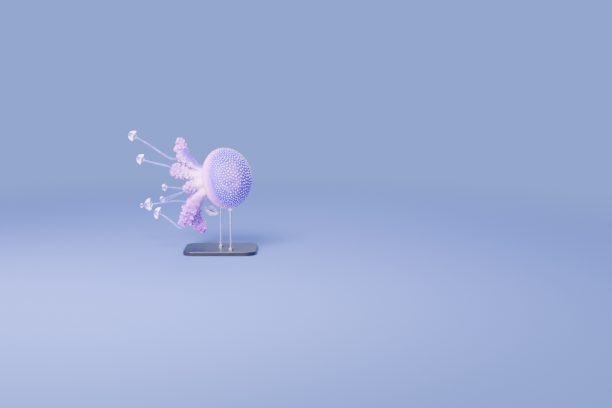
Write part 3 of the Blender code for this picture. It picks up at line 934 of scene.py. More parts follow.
def add_bell(batch):
    """The wall as one closed surface: rows run from the crown down the outer skin, round the edge
    of the lappets in a half circle, and up the inner skin to its own crown.

    The canals are the tops of a cosine with one wave for each, on the inner skin. clear is full
    where the wall faces CLEAR_SIDE.
    """
    turn = np.arange(BELL_COLUMNS) / BELL_COLUMNS * 360
    end = margin_end(turn)[None, :]
    share = np.linspace(0, 1, BELL_ROWS)[1:, None] ** 0.9
    rim = np.linspace(0, math.pi, RIM_ROWS + 2)[1:-1, None]
    rim_angle = end + 0.9 * np.sin(rim)
    angle = np.concatenate((share * end, rim_angle, share[::-1] * end))
    depth = np.concatenate((np.zeros_like(share), (1 - np.cos(rim)) / 2, np.ones_like(share)))
    finish = np.repeat(np.where(depth[:-1, 0] > 0.5, LINING, CLEAR), BELL_COLUMNS)
    depth, turns = np.broadcast_arrays(depth, turn)
    rings = bell_skin(angle, turns, depth)
    poles = np.array(((0, 0, CROWN_HEIGHT), (0, 0, CROWN_HEIGHT - WALL_AT_CROWN)))
    stripe = smooth((np.cos(np.radians(turns * CANALS)) - 0.7) / 0.3)
    values = {
        "angle": angle / MARGIN_END,
        "canal": 0.6 * stripe * smooth((angle - 30) / 20) * depth,
        "clear": CLEAREST * smooth((unit(rings) @ CLEAR_SIDE - 0.58) / 0.28),
    }
    add_tube(batch, placed(rings), finish, placed(poles), **values)


def spots_end(turn):
    """The angle where the spots end: they stop higher up on the viewer's side."""
    return SPOTS_END - SPOTS_SHORT * np.maximum(0, np.sin(np.radians(turn))) ** 1.5


def spot_room(angle):
    """The spots' spacing against that near the margin: larger and sparser at the crown."""
    return mix(SPARSE_CROWN, 1.0, smooth((angle - 15) / 60))


def spread_spots(count, seed):
    """Even but irregular places on the bell: points thrown over its area push each other apart.

    They are kept as (angle, turn). Each push is at most a quarter of the spacing.
    """
    rng = np.random.default_rng(seed)
    table = np.linspace(0, SPOTS_END, 400)
    skin = bell_outside(table)
    strip = np.linalg.norm(np.diff(skin, axis=0), axis=1) * (skin[1:, 0] + skin[:-1, 0]) / 2
    strip = strip / spot_room(table[1:]) ** 2
    area = np.concatenate(((0.0,), np.cumsum(strip)))
    angle = np.interp(rng.random(count) * area[-1], area, table)
    turn = rng.random(count) * 360
    spacing = math.sqrt(math.tau * area[-1] / count)
    for _ in range(SPREAD_ROUNDS):
        here = around(bell_outside(angle), turn)
        apart = here[:, None, :] - here[None, :, :]
        far = np.linalg.norm(apart, axis=-1) + 1e-9
        wanted = 1.15 * spacing * spot_room(angle)
        push = np.clip((wanted[:, None] + wanted[None, :]) / 2 / far - 1, 0, 1.5) / far
        np.fill_diagonal(push, 0)
        move = (apart * push[..., None]).sum(1)
        move = move / (1 + np.linalg.norm(move, axis=1, keepdims=True)) * 0.25 * spacing
        a, w = np.radians(angle), np.radians(turn)
        down = np.stack((np.cos(a) * np.cos(w), np.cos(a) * np.sin(w), -np.sin(a)), axis=-1)
        aside = np.stack((-np.sin(w), np.cos(w), np.zeros_like(w)), axis=-1)
        angle = angle + np.degrees((move * down).sum(-1))
        turn = turn + np.degrees((move * aside).sum(-1) / np.maximum(np.sin(a), 0.05))
        angle = np.clip(np.abs(angle), 1.5, SPOTS_END)
    kept = angle < spots_end(turn)
    return angle[kept], turn[kept] % 360


def add_spots(batch, looks):
    """Pigment spots over the bell, each a low dome of three rings whose skirt is under the skin.

    A spot is slightly oval, by a sine of two waves, and sinks by half the square of the distance
    from its middle, as the bell's curve does. Spots shrink near their last row and on the bell's
    lower side.
    """
    angle, turn = spread_spots(looks.spot_count, SPREAD_SEED)
    count = len(angle)
    rng = np.random.default_rng(SIZE_SEED)
    size = looks.spot_radius / BELL_RADIUS * spot_room(angle)
    size = size * mix(0.55, 1.0, smooth((spots_end(turn) - angle) / 18))
    size = size * mix(1.0, LOW_SPOTS, smooth(-np.cos(np.radians(turn))))
    size = size * rng.uniform(0.70, 1.20, count)
    w = np.radians(turn)
    normal = -around(bell_inward(angle), turn)
    across = np.stack((-np.sin(w), np.cos(w), np.zeros_like(w)), axis=-1)
    down = np.cross(across, normal)
    foot = bell_skin(angle, turn, np.zeros_like(angle))
    reach, rise = np.array(SPOT_RINGS).T[..., None]
    b = np.linspace(0, math.tau, SPOT_SIDES, endpoint=False)
    out = reach * (1 + 0.10 * np.sin(2 * b + rng.random((count, 1, 1)) * math.tau))
    x, y = out * np.cos(b), out * np.sin(b)
    high = rise * looks.spot_height / BELL_RADIUS - (x**2 + y**2) * size[:, None, None] ** 2 / 2
    flat = across[:, None, None] * x[..., None] + down[:, None, None] * y[..., None]
    points = foot[:, None, None] + flat * size[:, None, None, None]
    points = points + normal[:, None, None] * high[..., None]
    tops = foot + normal * (looks.spot_height / BELL_RADIUS)
    points = np.concatenate((points.reshape(count, -1, 3), tops[:, None]), axis=1)
    quads, triangles = dome_faces(len(SPOT_RINGS), SPOT_SIDES)
    far = (0.5 - MAP_EDGE) * angle / MARGIN_END
    root = 0.5 + np.stack((far * np.cos(w), far * np.sin(w)), axis=-1)
    patch = np.stack((x, y), axis=-1).reshape(count, -1, 2)
    patch = np.concatenate((patch, np.zeros((count, 1, 2))), axis=1)
    batch.add(
        placed(points),
        copied(quads, count, points.shape[1]),
        copied(triangles, count, points.shape[1]),
        uv=root[:, None] + patch * MAP_PATCH,
    )


# ---------------------------------------------------------------- disc, stomach and arms


def turned_rings(rows, sides):
    """Rings turned round the bell's axis from rows of (out, up, lobed, shift).

    A cosine of four waves swells a ring by the stomach's lobes where it is lobed, and shift moves
    it towards the viewer's side.
    """
    out, up, lobed, shift = np.array(rows).T[..., None]
    turn = np.linspace(0, 360, sides, endpoint=False)[None, :]
    out = out * (1 + lobed * STOMACH_LOBE * np.cos(np.radians(4 * turn)))
    up, turn = np.broadcast_to(up, out.shape), np.broadcast_to(turn, out.shape)
    rings = around(np.stack((out, up), axis=-1), turn)
    rings[..., 1] += shift
    return rings


def disc_rings():
    """The arm disc, from its underside round its thick rim to its slightly domed top."""
    rim = (DISC_TOP - DISC_BOTTOM) / 2
    middle = (DISC_TOP + DISC_BOTTOM) / 2
    rows = [(0.1, DISC_BOTTOM + 0.03, 0, 0), (0.25, DISC_BOTTOM, 0, 0)]
    for b in np.radians(np.linspace(-80, 70, 9)):
        rows.append((DISC_RADIUS - rim + rim * math.cos(b), middle + rim * math.sin(b), 0, 0))
    rows += [(STOMACH_RADIUS, DISC_TOP + 0.01, 0, 0), (0.12, DISC_TOP + 0.02, 0, 0)]
    return turned_rings(rows, DISC_SIDES)


def stomach_rings():
    """The clear, four-lobed stomach. Its roof goes a little way into the bell's inner skin."""
    rows = (
        (STOMACH_RADIUS * 1.15, DISC_TOP - 0.01, 0.5, 0),
        (STOMACH_RADIUS * 1.15, DISC_TOP + 0.02, 0.5, 0),
        (STOMACH_RADIUS, 0.33, 1.0, 0),
        (STOMACH_RADIUS, 0.42, 1.0, 0),
        (STOMACH_RADIUS * 1.02, 0.50, 1.0, 0),
        (STOMACH_RADIUS * 0.7, 0.56, 0.6, 0),
        (STOMACH_RADIUS * 0.3, 0.57, 0.3, 0),
    )
    return turned_rings(rows, DISC_SIDES)


def rounded_loop(loop, rounds):
    """Closed loops of corners, each cut twice a round, so that the corners become curves."""
    for _ in range(rounds):
        after = np.roll(loop, -1, axis=1)
        cut = np.stack((0.75 * loop + 0.25 * after, 0.25 * loop + 0.75 * after), axis=2)
        loop = cut.reshape(len(loop), -1, 3)
    return loop


def wing_half(u):
    """Half a wing's thickness at u along the frill: twice as thick where it starts."""
    return WING_HALF_THICKNESS * mix(2.0, 1.0, smooth(u / 0.3))


def arm_rings(arm, inset):
    """Sections of a whole arm: an oval shaft, wider at its root, that turns into a core with three
    wings and a ridge between the outer two, its smooth back.

    A wing ends inset short of the solid's, which leaves room for its ruffles. Down its sleeve, if
    it has one, the core stays wide, so that the wings show as low folds.
    """
    t = np.linspace(-0.02, 1.0, ARM_RINGS)
    u = np.clip((t - ARM_SPLIT) / (1 - ARM_SPLIT), 0, 1)
    middle, _, back, side = arm.frame(t)
    half = arm.half_width(t) * (1 + 0.25 * np.exp(-np.clip(t, 0, 1) / 0.05))
    winged = smooth((t - ARM_SPLIT + 0.06) / 0.16)
    core = CORE_RADIUS * mix(mix(1.4, 1.0, smooth(u / 0.3)), 0.55, u)
    frilled = smooth((u - arm.sleeve) / 0.25)
    if arm.sleeve:
        core = core * (1 + 0.9 * (1 - frilled))
    thick = wing_half(u)
    ridge = arm.ridge(u)
    corners = [(-28, 0, ridge, 0.0), (28, 0, ridge, 0.0)]
    for number, turn in enumerate(WING_TURNS):
        full = arm.wing_reach(u, number)
        reach = np.maximum(full - inset * frilled, 0.8 * CORE_RADIUS)
        swing = arm.wing_wave(u, number, full)
        corners.append((turn, -9, reach, swing - thick))
        corners.append((turn, 9, reach, swing + thick))
        if turn < WING_TURNS[-1]:
            corners.append(((turn + WING_TURNS[number + 1]) / 2, 0, core, 0.0))
    loop = []
    for turn, spread, out, over in corners:
        a, b = math.radians(turn), math.radians(turn + spread)
        oval = 1 / np.sqrt((math.cos(b) / SHAFT_THROUGH) ** 2 + (math.sin(b) / half) ** 2)
        x = mix(oval * math.cos(b), out * math.cos(a) - over * math.sin(a), winged)
        y = mix(oval * math.sin(b), out * math.sin(a) + over * math.cos(a), winged)
        loop.append(middle + back * x[:, None] + side * y[:, None])
    return rounded_loop(np.stack(loop, axis=1), 2)


def merged(rings_list, voxel):
    """Overlapping closed shapes joined into one skin by a voxel remesh: (points, quads)."""
    batch = Batch()
    for rings in rings_list:
        add_tube(batch, rings)
    rough = batch.mesh("rough", ())
    remesh = rough.modifiers.new("join", "REMESH")
    remesh.mode = "VOXEL"
    remesh.voxel_size = voxel
    final = rough.evaluated_get(bpy.context.evaluated_depsgraph_get())
    data = final.to_mesh()
    points = np.empty(len(data.vertices) * 3, np.float32)
    data.vertices.foreach_get("co", points)
    corners = np.empty(len(data.loops), np.int32)
    data.loops.foreach_get("vertex_index", corners)
    if len(corners) != 4 * len(data.polygons):
        raise RuntimeError("the remesh gave faces that aren't quads")
    final.to_mesh_clear()
    bpy.data.objects.remove(rough)
    return points.reshape(-1, 3).astype(float), corners.reshape(-1, 4).astype(int)


def relaxed(rows, quads, rounds):
    """Each point's row of numbers goes half way to the mean of its neighbours', again and again:
    creases of places round off, and borders of values blur.
    """
    ends = np.concatenate([quads[:, [i, (i + 1) % 4]] for i in range(4)])
    ends = np.concatenate((ends, ends[:, ::-1]))
    count = np.bincount(ends[:, 0], minlength=len(rows))
    for _ in range(rounds):
        sums = [np.bincount(ends[:, 0], column[ends[:, 1]], len(rows)) for column in rows.T]
        rows = 0.5 * rows + 0.5 * np.stack(sums, axis=1) / count[:, None]
    return rows


def blushing(blush, late, u):
    """An arm's blush at u along its frill, of which the late share comes in towards the tip."""
    return blush * (1 - late * (1 - smooth((u - 0.6) / 0.35)))


def arm_values(points):
    """along, blush, web and rim for points of the flesh, from the nearest place on a centreline."""
    t = np.linspace(0, 1, 60)
    frames = [arm.frame(t) for arm in ARMS]
    middles = placed(np.concatenate([f[0] for f in frames]))
    backs = np.concatenate([f[2] for f in frames]) @ BELL_AXES.T
    far = (points**2).sum(1)[:, None] - 2 * points @ middles.T + (middles**2).sum(1)[None, :]
    nearest = far.argmin(1)
    along = t[nearest % len(t)]
    blush, web, sleeve, bare, late = (
        np.array([getattr(arm, name) for arm in ARMS])[nearest // len(t)]
        for name in ("blush", "web", "sleeve", "bare", "late")
    )
    facing = (unit(points - middles[nearest] + 1e-9) * backs[nearest]).sum(1)
    web = 0.95 * web * smooth((facing + 0.05) / 0.6) * smooth((along - 0.06) / 0.25)
    u = (along - ARM_SPLIT) / (1 - ARM_SPLIT)
    # Painted shade: below the sleeve, the flesh between the frills falls to a low rim, all but the
    # bare back.
    frill_shaded = np.maximum(1 - smooth((facing - 0.35) / 0.3), smooth((u - bare) / 0.15))
    rim = PLAIN_RIM - 0.40 * smooth((u - sleeve) / 0.2) * frill_shaded
    return {"along": along, "blush": blushing(blush, late, u), "web": web, "rim": rim}


def add_flesh(batch, inset, finish):
    """The disc, the trunk and the cores of the arms, as one skin with rounded joins."""
    shapes = [disc_rings(), turned_rings(TRUNK_ROWS, TRUNK_SIDES)]
    shapes += [arm_rings(arm, inset) for arm in ARMS]
    points, quads = merged([placed(rings) for rings in shapes], VOXEL)
    points = relaxed(points, quads, SHAPE_ROUNDS)
    values = arm_values(points)
    blurred = relaxed(np.stack(list(values.values()), axis=1), quads, VALUE_ROUNDS)
    batch.add(points, quads, finish=finish, **dict(zip(values, blurred.T)))


# ---------------------------------------------------------------- filaments and clubs


def filament_line(filament, steps):
    """The filament's centreline, from inside the arm to the club's seat, in metres in the bell's
    frame.

    It leaves the arm with a short straight lead and then follows a Bezier curve. The curve's first
    handle goes on as the lead does for 0.22 of the run, and its second lies 0.62 of the way to the
    club, moved by the bow.
    """
    arm = ARMS[filament.arm]
    u = np.array(filament.leaves_at)
    middle, along, back, side = arm.frame(mix(ARM_SPLIT, 1.0, u))
    if filament.leaves_at < 1.0:
        reach = arm.wing_reach(u, INNER)
        swing = arm.wing_wave(u, INNER, reach)
        leaves = -back
        foot = (middle - back * reach - side * swing + along * 0.5 * swing) * BELL_RADIUS
        foot = foot + leaves * (4 * GAP)
    else:
        leaves = along
        foot = middle * BELL_RADIUS + leaves * GAP
    start = foot + leaves * FILAMENT_LEAD
    end = np.array(filament.club) * BELL_RADIUS
    bow = np.array(filament.bow) * BELL_RADIUS
    run = np.linalg.norm(end - start)
    route = (start, start + leaves * 0.22 * run + bow * 0.5, mix(start, end, 0.62) + bow, end)
    buried = foot - leaves * 0.012
    return np.concatenate(((buried, foot), bezier(route, np.linspace(0, 1, steps))))


def carried_frames(line):
    """(along, across, over) at each point of a line, with no twist: each across is the last one's,
    turned as little as the bend asks.
    """
    along = unit(np.gradient(line, axis=0))
    across = np.empty_like(along)
    first = np.cross(along[0], (0.3, 0.2, 1.0))
    across[0] = first / np.linalg.norm(first)
    for i in range(1, len(line)):
        kept = across[i - 1] - along[i] * np.dot(across[i - 1], along[i])
        across[i] = kept / np.linalg.norm(kept)
    return along, across, np.cross(along, across)


def add_filament(batch, filament, finish, sides=14, steps=64):
    """A round thread along its line. The radius falls evenly to the club, flares to nearly twice
    as much at the arm, and swells and shrinks by 7 % in a sine on its way.
    """
    line = filament_line(filament, steps)
    _, across, over = carried_frames(line)
    share = np.linspace(0, 1, len(line))
    radius = filament.radius * mix(1.0, FILAMENT_TAPER, share) * (1 + 0.9 * np.exp(-share / 0.03))
    radius = radius * (1 + 0.07 * np.sin(37 * share + 9 * filament.radius * 1e3))
    a = np.linspace(0, math.tau, sides, endpoint=False)[None, :, None]
    ring = np.cos(a) * across[:, None] + np.sin(a) * over[:, None]
    rings = line[:, None] + ring * radius[:, None, None]
    add_tube(batch, placed(rings / BELL_RADIUS), finish, along=share)


def club_axes(filament):
    """The club's seat in metres and its three directions, as columns; its z runs on from the
    filament.
    """
    line = filament_line(filament, 40)
    arrives = unit(line[-1] - line[-2])
    turned = Vector(arrives).to_track_quat("Z", "Y").to_matrix()
    roll = math.radians(filament.roll)
    c, s = math.cos(roll), math.sin(roll)
    spin = np.array(((c, -s, 0), (s, c, 0), (0, 0, 1)))
    return line[-1] + arrives * CLUB_WALL, np.array(turned) @ spin


def add_club(batch, filament, finish, sides=48):
    """A cap of three rounded wings, hollow on the side where its filament comes in.

    The profile (out, down) runs from the crown down the outside, round a rolled rim and back up the
    hollow. It is turned round the club's axis, where a cosine of three waves swells the wings. The
    outside is white on its ribs and at its crown, the hollow at its rim.
    """
    radius, depth, lobe = filament.club_radius, filament.club_depth, filament.lobe
    wall = 0.8 * CLUB_WALL
    a = np.linspace(0.08, 1.5, 15)
    outside = np.stack((np.sin(a), 1 - np.cos(a)), axis=-1) * (radius, depth)
    roll = np.linspace(0, math.pi, LIP_ROWS + 2)[1:-1]
    lip = (radius - wall / 2 * (1 - np.cos(roll)), depth * 0.95 + wall / 3 * np.sin(roll))
    b = np.linspace(1.5, 0.1, 13)
    inside = np.stack((np.sin(b), 1 - np.cos(b)), axis=-1) * (radius - wall, depth - CLUB_WALL)
    inside[:, 1] += CLUB_WALL
    profile = np.concatenate((outside, np.stack(lip, axis=-1), inside))
    turn = np.linspace(0, math.tau, sides, endpoint=False)[None, :]
    out = profile[:, :1]
    share = out / radius
    swell = 1 + lobe * share * (np.cos(3 * turn) - 0.4)
    droop = 0.35 * lobe * depth * share**2 * np.cos(3 * turn)
    flutter = 0.05 * radius * share**4 * np.sin(9 * turn + 1.3)
    x = (out * swell + flutter) * np.cos(turn)
    y = (out * swell + flutter) * np.sin(turn)
    z = -profile[:, 1:] - droop
    seat, axes = club_axes(filament)
    rings = (seat + np.stack((x, y, z), axis=-1) @ axes.T) / BELL_RADIUS
    poles = (seat + np.array(((0, 0, 0), (0, 0, -CLUB_WALL))) @ axes.T) / BELL_RADIUS
    outer = np.arange(len(profile))[:, None] <= len(outside) + LIP_ROWS // 2
    webbed = smooth(0.7 - 0.9 * np.cos(3 * turn)) * smooth((share - 0.15) / 0.45)
    lipped = mix(0.22, 1.0, smooth((share - 0.62) / 0.15))
    white = np.where(outer, 1 - filament.clear * webbed, lipped)
    add_tube(batch, placed(rings), finish, placed(poles), rim=white)


# ---------------------------------------------------------------- the frills


def frill_length(arm):
    """The length of the arm's frilled part, in metres."""
    line = placed(arm.point(mix(ARM_SPLIT, 1.0, np.linspace(0, 1, 50))))
    return np.linalg.norm(np.diff(line, axis=0), axis=1).sum()


def lobes(arm, u, number, looks):
    """1 on a lobe of the frills and 0 in the hollow between two: an uneven wave along each wing."""
    turns = math.tau * frill_length(arm) / looks.lobe_length * u + 2.4 * number + 7 * arm.phase
    return 0.5 + 0.5 * np.sin(turns + 0.9 * np.sin(0.41 * turns))


def add_ruffle(batch, arm, number, place, lean, looks, seed):
    """One ruffle along a wing: a thin sheet whose free edge runs in folds like a lettuce leaf's.

    It starts at place, a share of the wing's reach, and leans lean degrees off the wing to its
    side. It stands tall on the lobes and low in the hollows between them. Its colour is painted
    shade and highlight: paler on the lobes and at its free edge, darker in the hollows and at its
    root.

    Across the sheet, v runs from 0 at the root to 1 at the free edge. A sine along the arm swings
    it sideways by v to the power 1.3, a second one of 2.7 times the pace adds small folds near the
    edge, and a sine of twice the pace moves it along the arm, so that each fold overhangs the next.
    """
    rng = np.random.default_rng(seed)
    folds = frill_length(arm) / looks.ruffle_wave
    u = np.linspace(arm.sleeve + 0.02, 0.995, int(STEPS_PER_FOLD * folds))
    middle, along, back, side = arm.frame(mix(ARM_SPLIT, 1.0, u))
    reach = arm.wing_reach(u, number)
    swing = arm.wing_wave(u, number, reach)
    out, over = swung(back, side, WING_TURNS[number])
    rise, aside = swung(out, over, lean)
    lobe = lobes(arm, u, number, looks)
    most = looks.ruffle_height / BELL_RADIUS * smooth((u - arm.sleeve) / 0.15)
    most = np.minimum(most * smooth((1 - u) / 0.04), 0.8 * reach)
    tall = most * mix(0.45, 1.10, lobe)
    root = np.maximum(reach * place - most * math.cos(math.radians(lean)), 0.35 * reach)
    lifted = 0.8 * WING_HALF_THICKNESS * np.sign(lean)
    swing = swing * root / reach
    foot = middle + out * root[:, None] + over * (swing + lifted)[:, None]
    foot = foot + along * (0.5 * swing)[:, None]
    v = np.array(RUFFLE_PROFILE)[:, None]
    wobble = 0.9 * np.sin(7.3 * u + math.tau * rng.random())
    fold = (math.tau * folds * u + wobble + math.tau * rng.random())[:, None, None]
    fine = 2.7 * fold + 1.1 * np.sin(0.37 * fold)
    bend = 0.42 * v**1.3 * np.sin(fold) + 0.16 * v**2 * np.sin(fine)
    slide = 0.22 * v**1.5 * np.sin(2 * fold)
    height_at = v * (1 - 0.10 * v * (1 + np.sin(fine)))
    scale = tall[:, None, None]
    sheet = foot[:, None] + (rise[:, None] * height_at + aside[:, None] * bend) * scale
    sheet = sheet + along[:, None] * slide * scale
    normal = np.cross(np.gradient(sheet, axis=0), np.gradient(sheet, axis=1))
    normal = normal / (np.linalg.norm(normal, axis=-1, keepdims=True) + 1e-12)
    half = looks.ruffle_thickness / BELL_RADIUS / 2 * mix(1.0, 0.45, v)
    rings = np.concatenate((sheet + normal * half, (sheet - normal * half)[:, ::-1]), axis=1)
    v = v[:, 0]
    rim = np.concatenate((v, v[::-1]))
    patch = np.concatenate((v, -v[::-1])) * MAP_PATCH
    row = (WING_TURNS[number] + lean * 0.4) / 360
    uv = np.stack(np.broadcast_arrays(on_map(u)[:, None], on_map(row) + patch), axis=-1)
    # Painted shade and highlight: rim is lowest at the root and in the hollows between lobes, and
    # highest at the free edge on a lobe.
    values = {
        "along": mix(ARM_SPLIT, 1.0, u),
        "rim": SHADED_ROOT_RIM + (1 - SHADED_ROOT_RIM) * rim**1.5 * mix(0.30, 1.0, lobe)[:, None],
        "blush": blushing(arm.blush, arm.late, u),
    }
    add_tube(batch, placed(rings), uv=uv, ends={"rim": (SHADED_ROOT_RIM, SHADED_ROOT_RIM)}, **values)


def knob():
    """A ball of radius one that a cosine of three waves lobes: (points, quads, triangles)."""
    rows = np.radians(KNOB_ROWS)
    turn = np.linspace(0, math.tau, KNOB_SIDES, endpoint=False)
    lobed = 1 + 0.18 * np.cos(3 * turn)
    x = np.sin(rows)[:, None] * np.cos(turn) * lobed
    y = np.sin(rows)[:, None] * np.sin(turn) * lobed
    z = np.broadcast_to(-np.cos(rows)[:, None], x.shape)
    points = with_ends(np.stack((x, y, z), axis=-1), ((0, 0, -1), (0, 0, 1)))
    return points, ring_quads(*x.shape), end_fans(*x.shape)


def add_florets(batch, arm, looks, seed):
    """Mouth knobs sown over the wings' faces and edges, thick near the edges, and over the back
    below its bare length. Each leans out of its face at a random tilt, and knobs are larger and
    paler on the lobes of the frill.
    """
    rng = np.random.default_rng(seed)
    count = looks.florets
    number = rng.choice(BACK + 1, count, p=KNOB_SHARES)
    on_back = number == BACK
    first_u = np.where(on_back, arm.bare, arm.sleeve)
    u = mix(first_u + 0.03, 0.995, rng.random(count))
    middle, along, back, side = arm.frame(mix(ARM_SPLIT, 1.0, u))
    reaches = [arm.wing_reach(u, wing) for wing in range(BACK)]
    swings = [arm.wing_wave(u, wing, reach) for wing, reach in enumerate(reaches)]
    reach = np.choose(number, reaches + [arm.ridge(u)])
    swing = np.choose(number, swings + [np.zeros(count)])
    turn = np.where(on_back, rng.uniform(-50, 50, count), np.array(WING_TURNS + (0,))[number])
    out, over = swung(back, side, turn)
    lobe = lobes(arm, u, number, looks)
    place = np.where(on_back, 0.92, 0.35 + 0.60 * rng.random(count) ** 0.7) * mix(0.88, 1.0, lobe)
    face = np.where(rng.random(count) < 0.5, -1.0, 1.0)
    off = np.where(on_back, 0.0, face)
    foot = middle + out * (reach * place)[:, None]
    foot = foot + over * (swing * place + off * wing_half(u) * 0.9)[:, None]
    foot = foot + along * (0.5 * swing * place)[:, None]
    up = unit(over * off[:, None] + out * 0.5 + rng.normal(0, 0.35, (count, 3)))
    across = unit(np.cross(up, along))
    axes = np.stack((across, np.cross(up, across), up), axis=1)
    size = looks.floret_radius / BELL_RADIUS * (0.65 + 0.9 * rng.random(count) ** 1.5)
    size = size * mix(0.6, 1.15, lobe) * smooth((u - first_u) / 0.12)
    size = np.maximum(size, 0.2 * looks.floret_radius / BELL_RADIUS)
    stretch = [0.8 + 0.4 * rng.random(count) for _ in range(2)] + [np.full(count, 1.25)]
    shape, quads, triangles = knob()
    local = shape * np.stack(stretch, axis=1)[:, None] * size[:, None, None]
    points = foot[:, None] + np.einsum("nki,nij->nkj", local, axes)
    root = np.stack((on_map(u), on_map((turn + face * 30) % 360 / 360)), axis=-1)
    # Painted highlight and shade: a knob pales towards its tip, and is darker in the hollows
    # between lobes.
    top = np.clip(shape[:, 2], 0, 1) ** 1.5
    batch.add(
        placed(points),
        copied(quads, count, len(shape)),
        copied(triangles, count, len(shape)),
        uv=root[:, None] + shape[:, :2] * MAP_PATCH,
        along=np.repeat(mix(ARM_SPLIT, 1.0, u), len(shape)),
        rim=(0.2 + 0.8 * top) * mix(0.4, 1.0, lobe)[:, None],
        blush=np.repeat(blushing(arm.blush, arm.late, u), len(shape)),
    )


# ---------------------------------------------------------------- operators


def flesh_nodes():
    """The solids that the skin stands for: all but the stand."""
    return [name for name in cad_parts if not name.startswith("stand_")]


class JELLYFISH_OT_skin(Operator):
    """One skin over the bell, the disc, the arms, the filaments and the clubs"""

    bl_idname = "jellyfish.skin"
    bl_label = "Skin"

    def execute(self, context):
        bell = context.scene.jellyfish_bell
        arms = context.scene.jellyfish_arms
        trail = context.scene.jellyfish_trail
        batch = Batch()
        add_bell(batch)
        add_flesh(batch, RUFFLE_ROOM * arms.ruffle_height / BELL_RADIUS, FLESH)
        for filament in FILAMENTS:
            add_filament(batch, filament, THREAD)
            add_club(batch, filament, CLUB)
        add_tube(batch, placed(stomach_rings()), LINING, canal=STOMACH_MILK)
        finishes = {
            CLEAR: clear_mesoglea(bell),
            LINING: lining_mesoglea(bell),
            FLESH: milky_mesoglea("milky_mesoglea", arms, frilled=False),
            THREAD: thread_mesoglea(trail),
            CLUB: club_mesoglea(trail),
        }
        skin = batch.mesh("jellyfish_skin", finishes.values())
        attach(skin, "root")
        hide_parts(*flesh_nodes())
        return {"FINISHED"}


class JELLYFISH_OT_spots(Operator):
    """White spots sown over the bell, lying on its skin"""

    bl_idname = "jellyfish.spots"
    bl_label = "Spots"

    def execute(self, context):
        looks = context.scene.jellyfish_bell
        batch = Batch()
        add_spots(batch, looks)
        spots = batch.mesh("bell_spots", (white_pigment(looks),))
        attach(spots, "root")
        return {"FINISHED"}


class JELLYFISH_OT_frills(Operator):
    """Ruffles and mouth knobs along the wings of each oral arm"""

    bl_idname = "jellyfish.frills"
    bl_label = "Frills"

    def execute(self, context):
        looks = context.scene.jellyfish_arms
        finish = milky_mesoglea("frill_mesoglea", looks, frilled=True)
        for index, arm in enumerate(ARMS):
            batch = Batch()
            for number in range(len(WING_TURNS)):
                for row, (place, lean) in enumerate(RUFFLE_ROWS):
                    seed = 100 * index + 10 * number + row
                    add_ruffle(batch, arm, number, place, lean, looks, seed)
            add_florets(batch, arm, looks, seed=1000 + index)
            frill = batch.mesh(f"arm_{index + 1}_ruffles", (finish,))
            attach(frill, "root")
        return {"FINISHED"}


class JELLYFISH_OT_stand(Operator):
    """Lacquer for the base, brushed steel for the rods and silicone for their pads"""

    bl_idname = "jellyfish.stand"
    bl_label = "Stand"

    def execute(self, context):
        looks = context.scene.jellyfish_stage
        finishes = {"stand_base": satin_lacquer(looks)}
        for name in ("stand_rod_bell", "stand_rod_arms"):
            _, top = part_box(name)
            finishes[name] = brushed_steel(f"{name}_steel", looks, top.z - PAD_LENGTH)
        for name, finish in finishes.items():
            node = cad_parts[name]
            node.data.materials.clear()
            node.data.materials.append(finish)
        return {"FINISHED"}


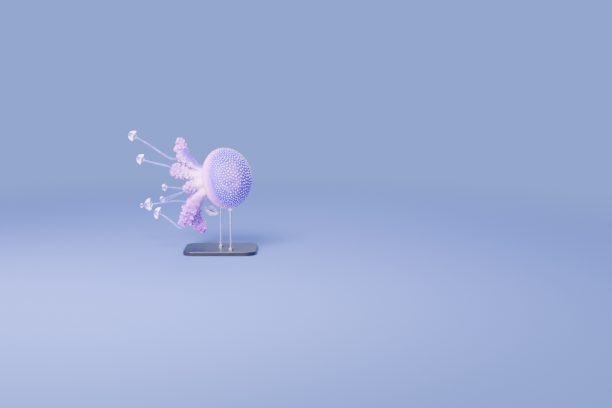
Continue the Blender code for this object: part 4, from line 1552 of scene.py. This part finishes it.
class JELLYFISH_OT_stage(Operator):
    """A plain pale floor that fades into its backdrop, soft studio light and the camera"""

    bl_idname = "jellyfish.stage"
    bl_label = "Stage"

    def execute(self, context):
        looks = context.scene.jellyfish_stage
        self.add_floor(looks)
        self.add_light(looks)
        lens = bpy.data.cameras.new("camera")
        lens.lens = CAMERA_LENS
        lens.sensor_width = SENSOR_WIDTH
        camera = bpy.data.objects.new("camera", lens)
        camera.location = CAMERA_PLACE
        camera.rotation_euler = (math.radians(90 - CAMERA_DIP), 0.0, 0.0)
        context.scene.collection.objects.link(camera)
        context.scene.camera = camera
        return {"FINISHED"}

    def add_floor(self, looks):
        """A flat round floor of rings about a middle. Its matt paint's colour runs into the
        backdrop's, so that it shows no edge.
        """
        turn = np.linspace(0, math.tau, FLOOR_SIDES, endpoint=False)
        out = np.array(FLOOR_RINGS)[:, None]
        ring = np.stack((out * np.cos(turn), out * np.sin(turn), 0 * out * turn), axis=-1)
        points = np.concatenate((ring.reshape(-1, 3), np.zeros((1, 3))))
        batch = Batch()
        batch.add(points, *dome_faces(len(FLOOR_RINGS), FLOOR_SIDES))
        made, tree, shader, place = new_material("matt_floor_paint")
        set_sockets(tree, shader, {"Base Color": looks.floor_colour, "Roughness": 0.85})
        far = add_node(tree, "VectorMath", {0: place}, out="Value", operation="LENGTH")
        inputs = {"Value": far, "From Min": FLOOR_FADES[0], "From Max": FLOOR_FADES[1]}
        share = add_node(tree, "MapRange", inputs, interpolation_type="SMOOTHSTEP")
        glow = add_node(tree, "Emission", {"Color": looks.far_colour, "Strength": GLOW})
        blend = add_node(tree, "MixShader", {0: share, 1: shader.outputs[0], 2: glow})
        set_sockets(tree, tree.nodes["Material Output"], {"Surface": blend})
        batch.mesh("floor", (made,))

    def add_light(self, looks):
        """Large soft lamps: a key from the upper left, a low fill from the front, a rosy side light
        on the margin and the frills, and a back light that rims the jelly.
        """
        world = bpy.data.worlds.new("backdrop")
        world.use_nodes = True
        sky = world.node_tree.nodes["Background"]
        set_sockets(world.node_tree, sky, {"Color": looks.far_colour, "Strength": GLOW})
        bpy.context.scene.world = world
        for name, place, size, watts, code in LAMPS:
            lamp = bpy.data.lights.new(name, "AREA")
            lamp.size = size
            lamp.energy = watts
            lamp.color = linear(code)
            obj = bpy.data.objects.new(name, lamp)
            obj.location = place
            aim = Vector(BELL_CENTRE) - obj.location
            obj.rotation_euler = aim.to_track_quat("-Z", "Y").to_euler()
            bpy.context.scene.collection.objects.link(obj)


class JELLYFISH_PT_looks(Panel):
    """The sizes and colours of the model, and a button for each of its pieces"""

    bl_idname = "JELLYFISH_PT_looks"
    bl_label = "Jellyfish"
    bl_space_type = "VIEW_3D"
    bl_region_type = "UI"
    bl_category = "Jellyfish"

    def draw(self, context):
        for group in PROPERTY_GROUPS:
            box = self.layout.box()
            looks = getattr(context.scene, group)
            for name in looks.bl_rna.properties.keys():
                if name not in ("rna_type", "name"):
                    box.prop(looks, name)
        for operator in OPERATORS:
            self.layout.operator(operator.bl_idname)


PROPERTY_GROUPS = {
    "jellyfish_bell": BellLooks,
    "jellyfish_arms": ArmLooks,
    "jellyfish_trail": TrailLooks,
    "jellyfish_stage": StageLooks,
}
OPERATORS = (
    JELLYFISH_OT_stage,
    JELLYFISH_OT_skin,
    JELLYFISH_OT_spots,
    JELLYFISH_OT_frills,
    JELLYFISH_OT_stand,
)


def register():
    for name, group in PROPERTY_GROUPS.items():
        bpy.utils.register_class(group)
        setattr(bpy.types.Scene, name, PointerProperty(type=group))
    for operator in OPERATORS:
        bpy.utils.register_class(operator)
    bpy.utils.register_class(JELLYFISH_PT_looks)


def unregister():
    bpy.utils.unregister_class(JELLYFISH_PT_looks)
    for operator in reversed(OPERATORS):
        bpy.utils.unregister_class(operator)
    for name, group in PROPERTY_GROUPS.items():
        delattr(bpy.types.Scene, name)
        bpy.utils.unregister_class(group)


def main():
    register()
    bpy.ops.jellyfish.stage()
    bpy.ops.jellyfish.skin()
    bpy.ops.jellyfish.spots()
    bpy.ops.jellyfish.frills()
    bpy.ops.jellyfish.stand()


if __name__ == "__main__":
    main()
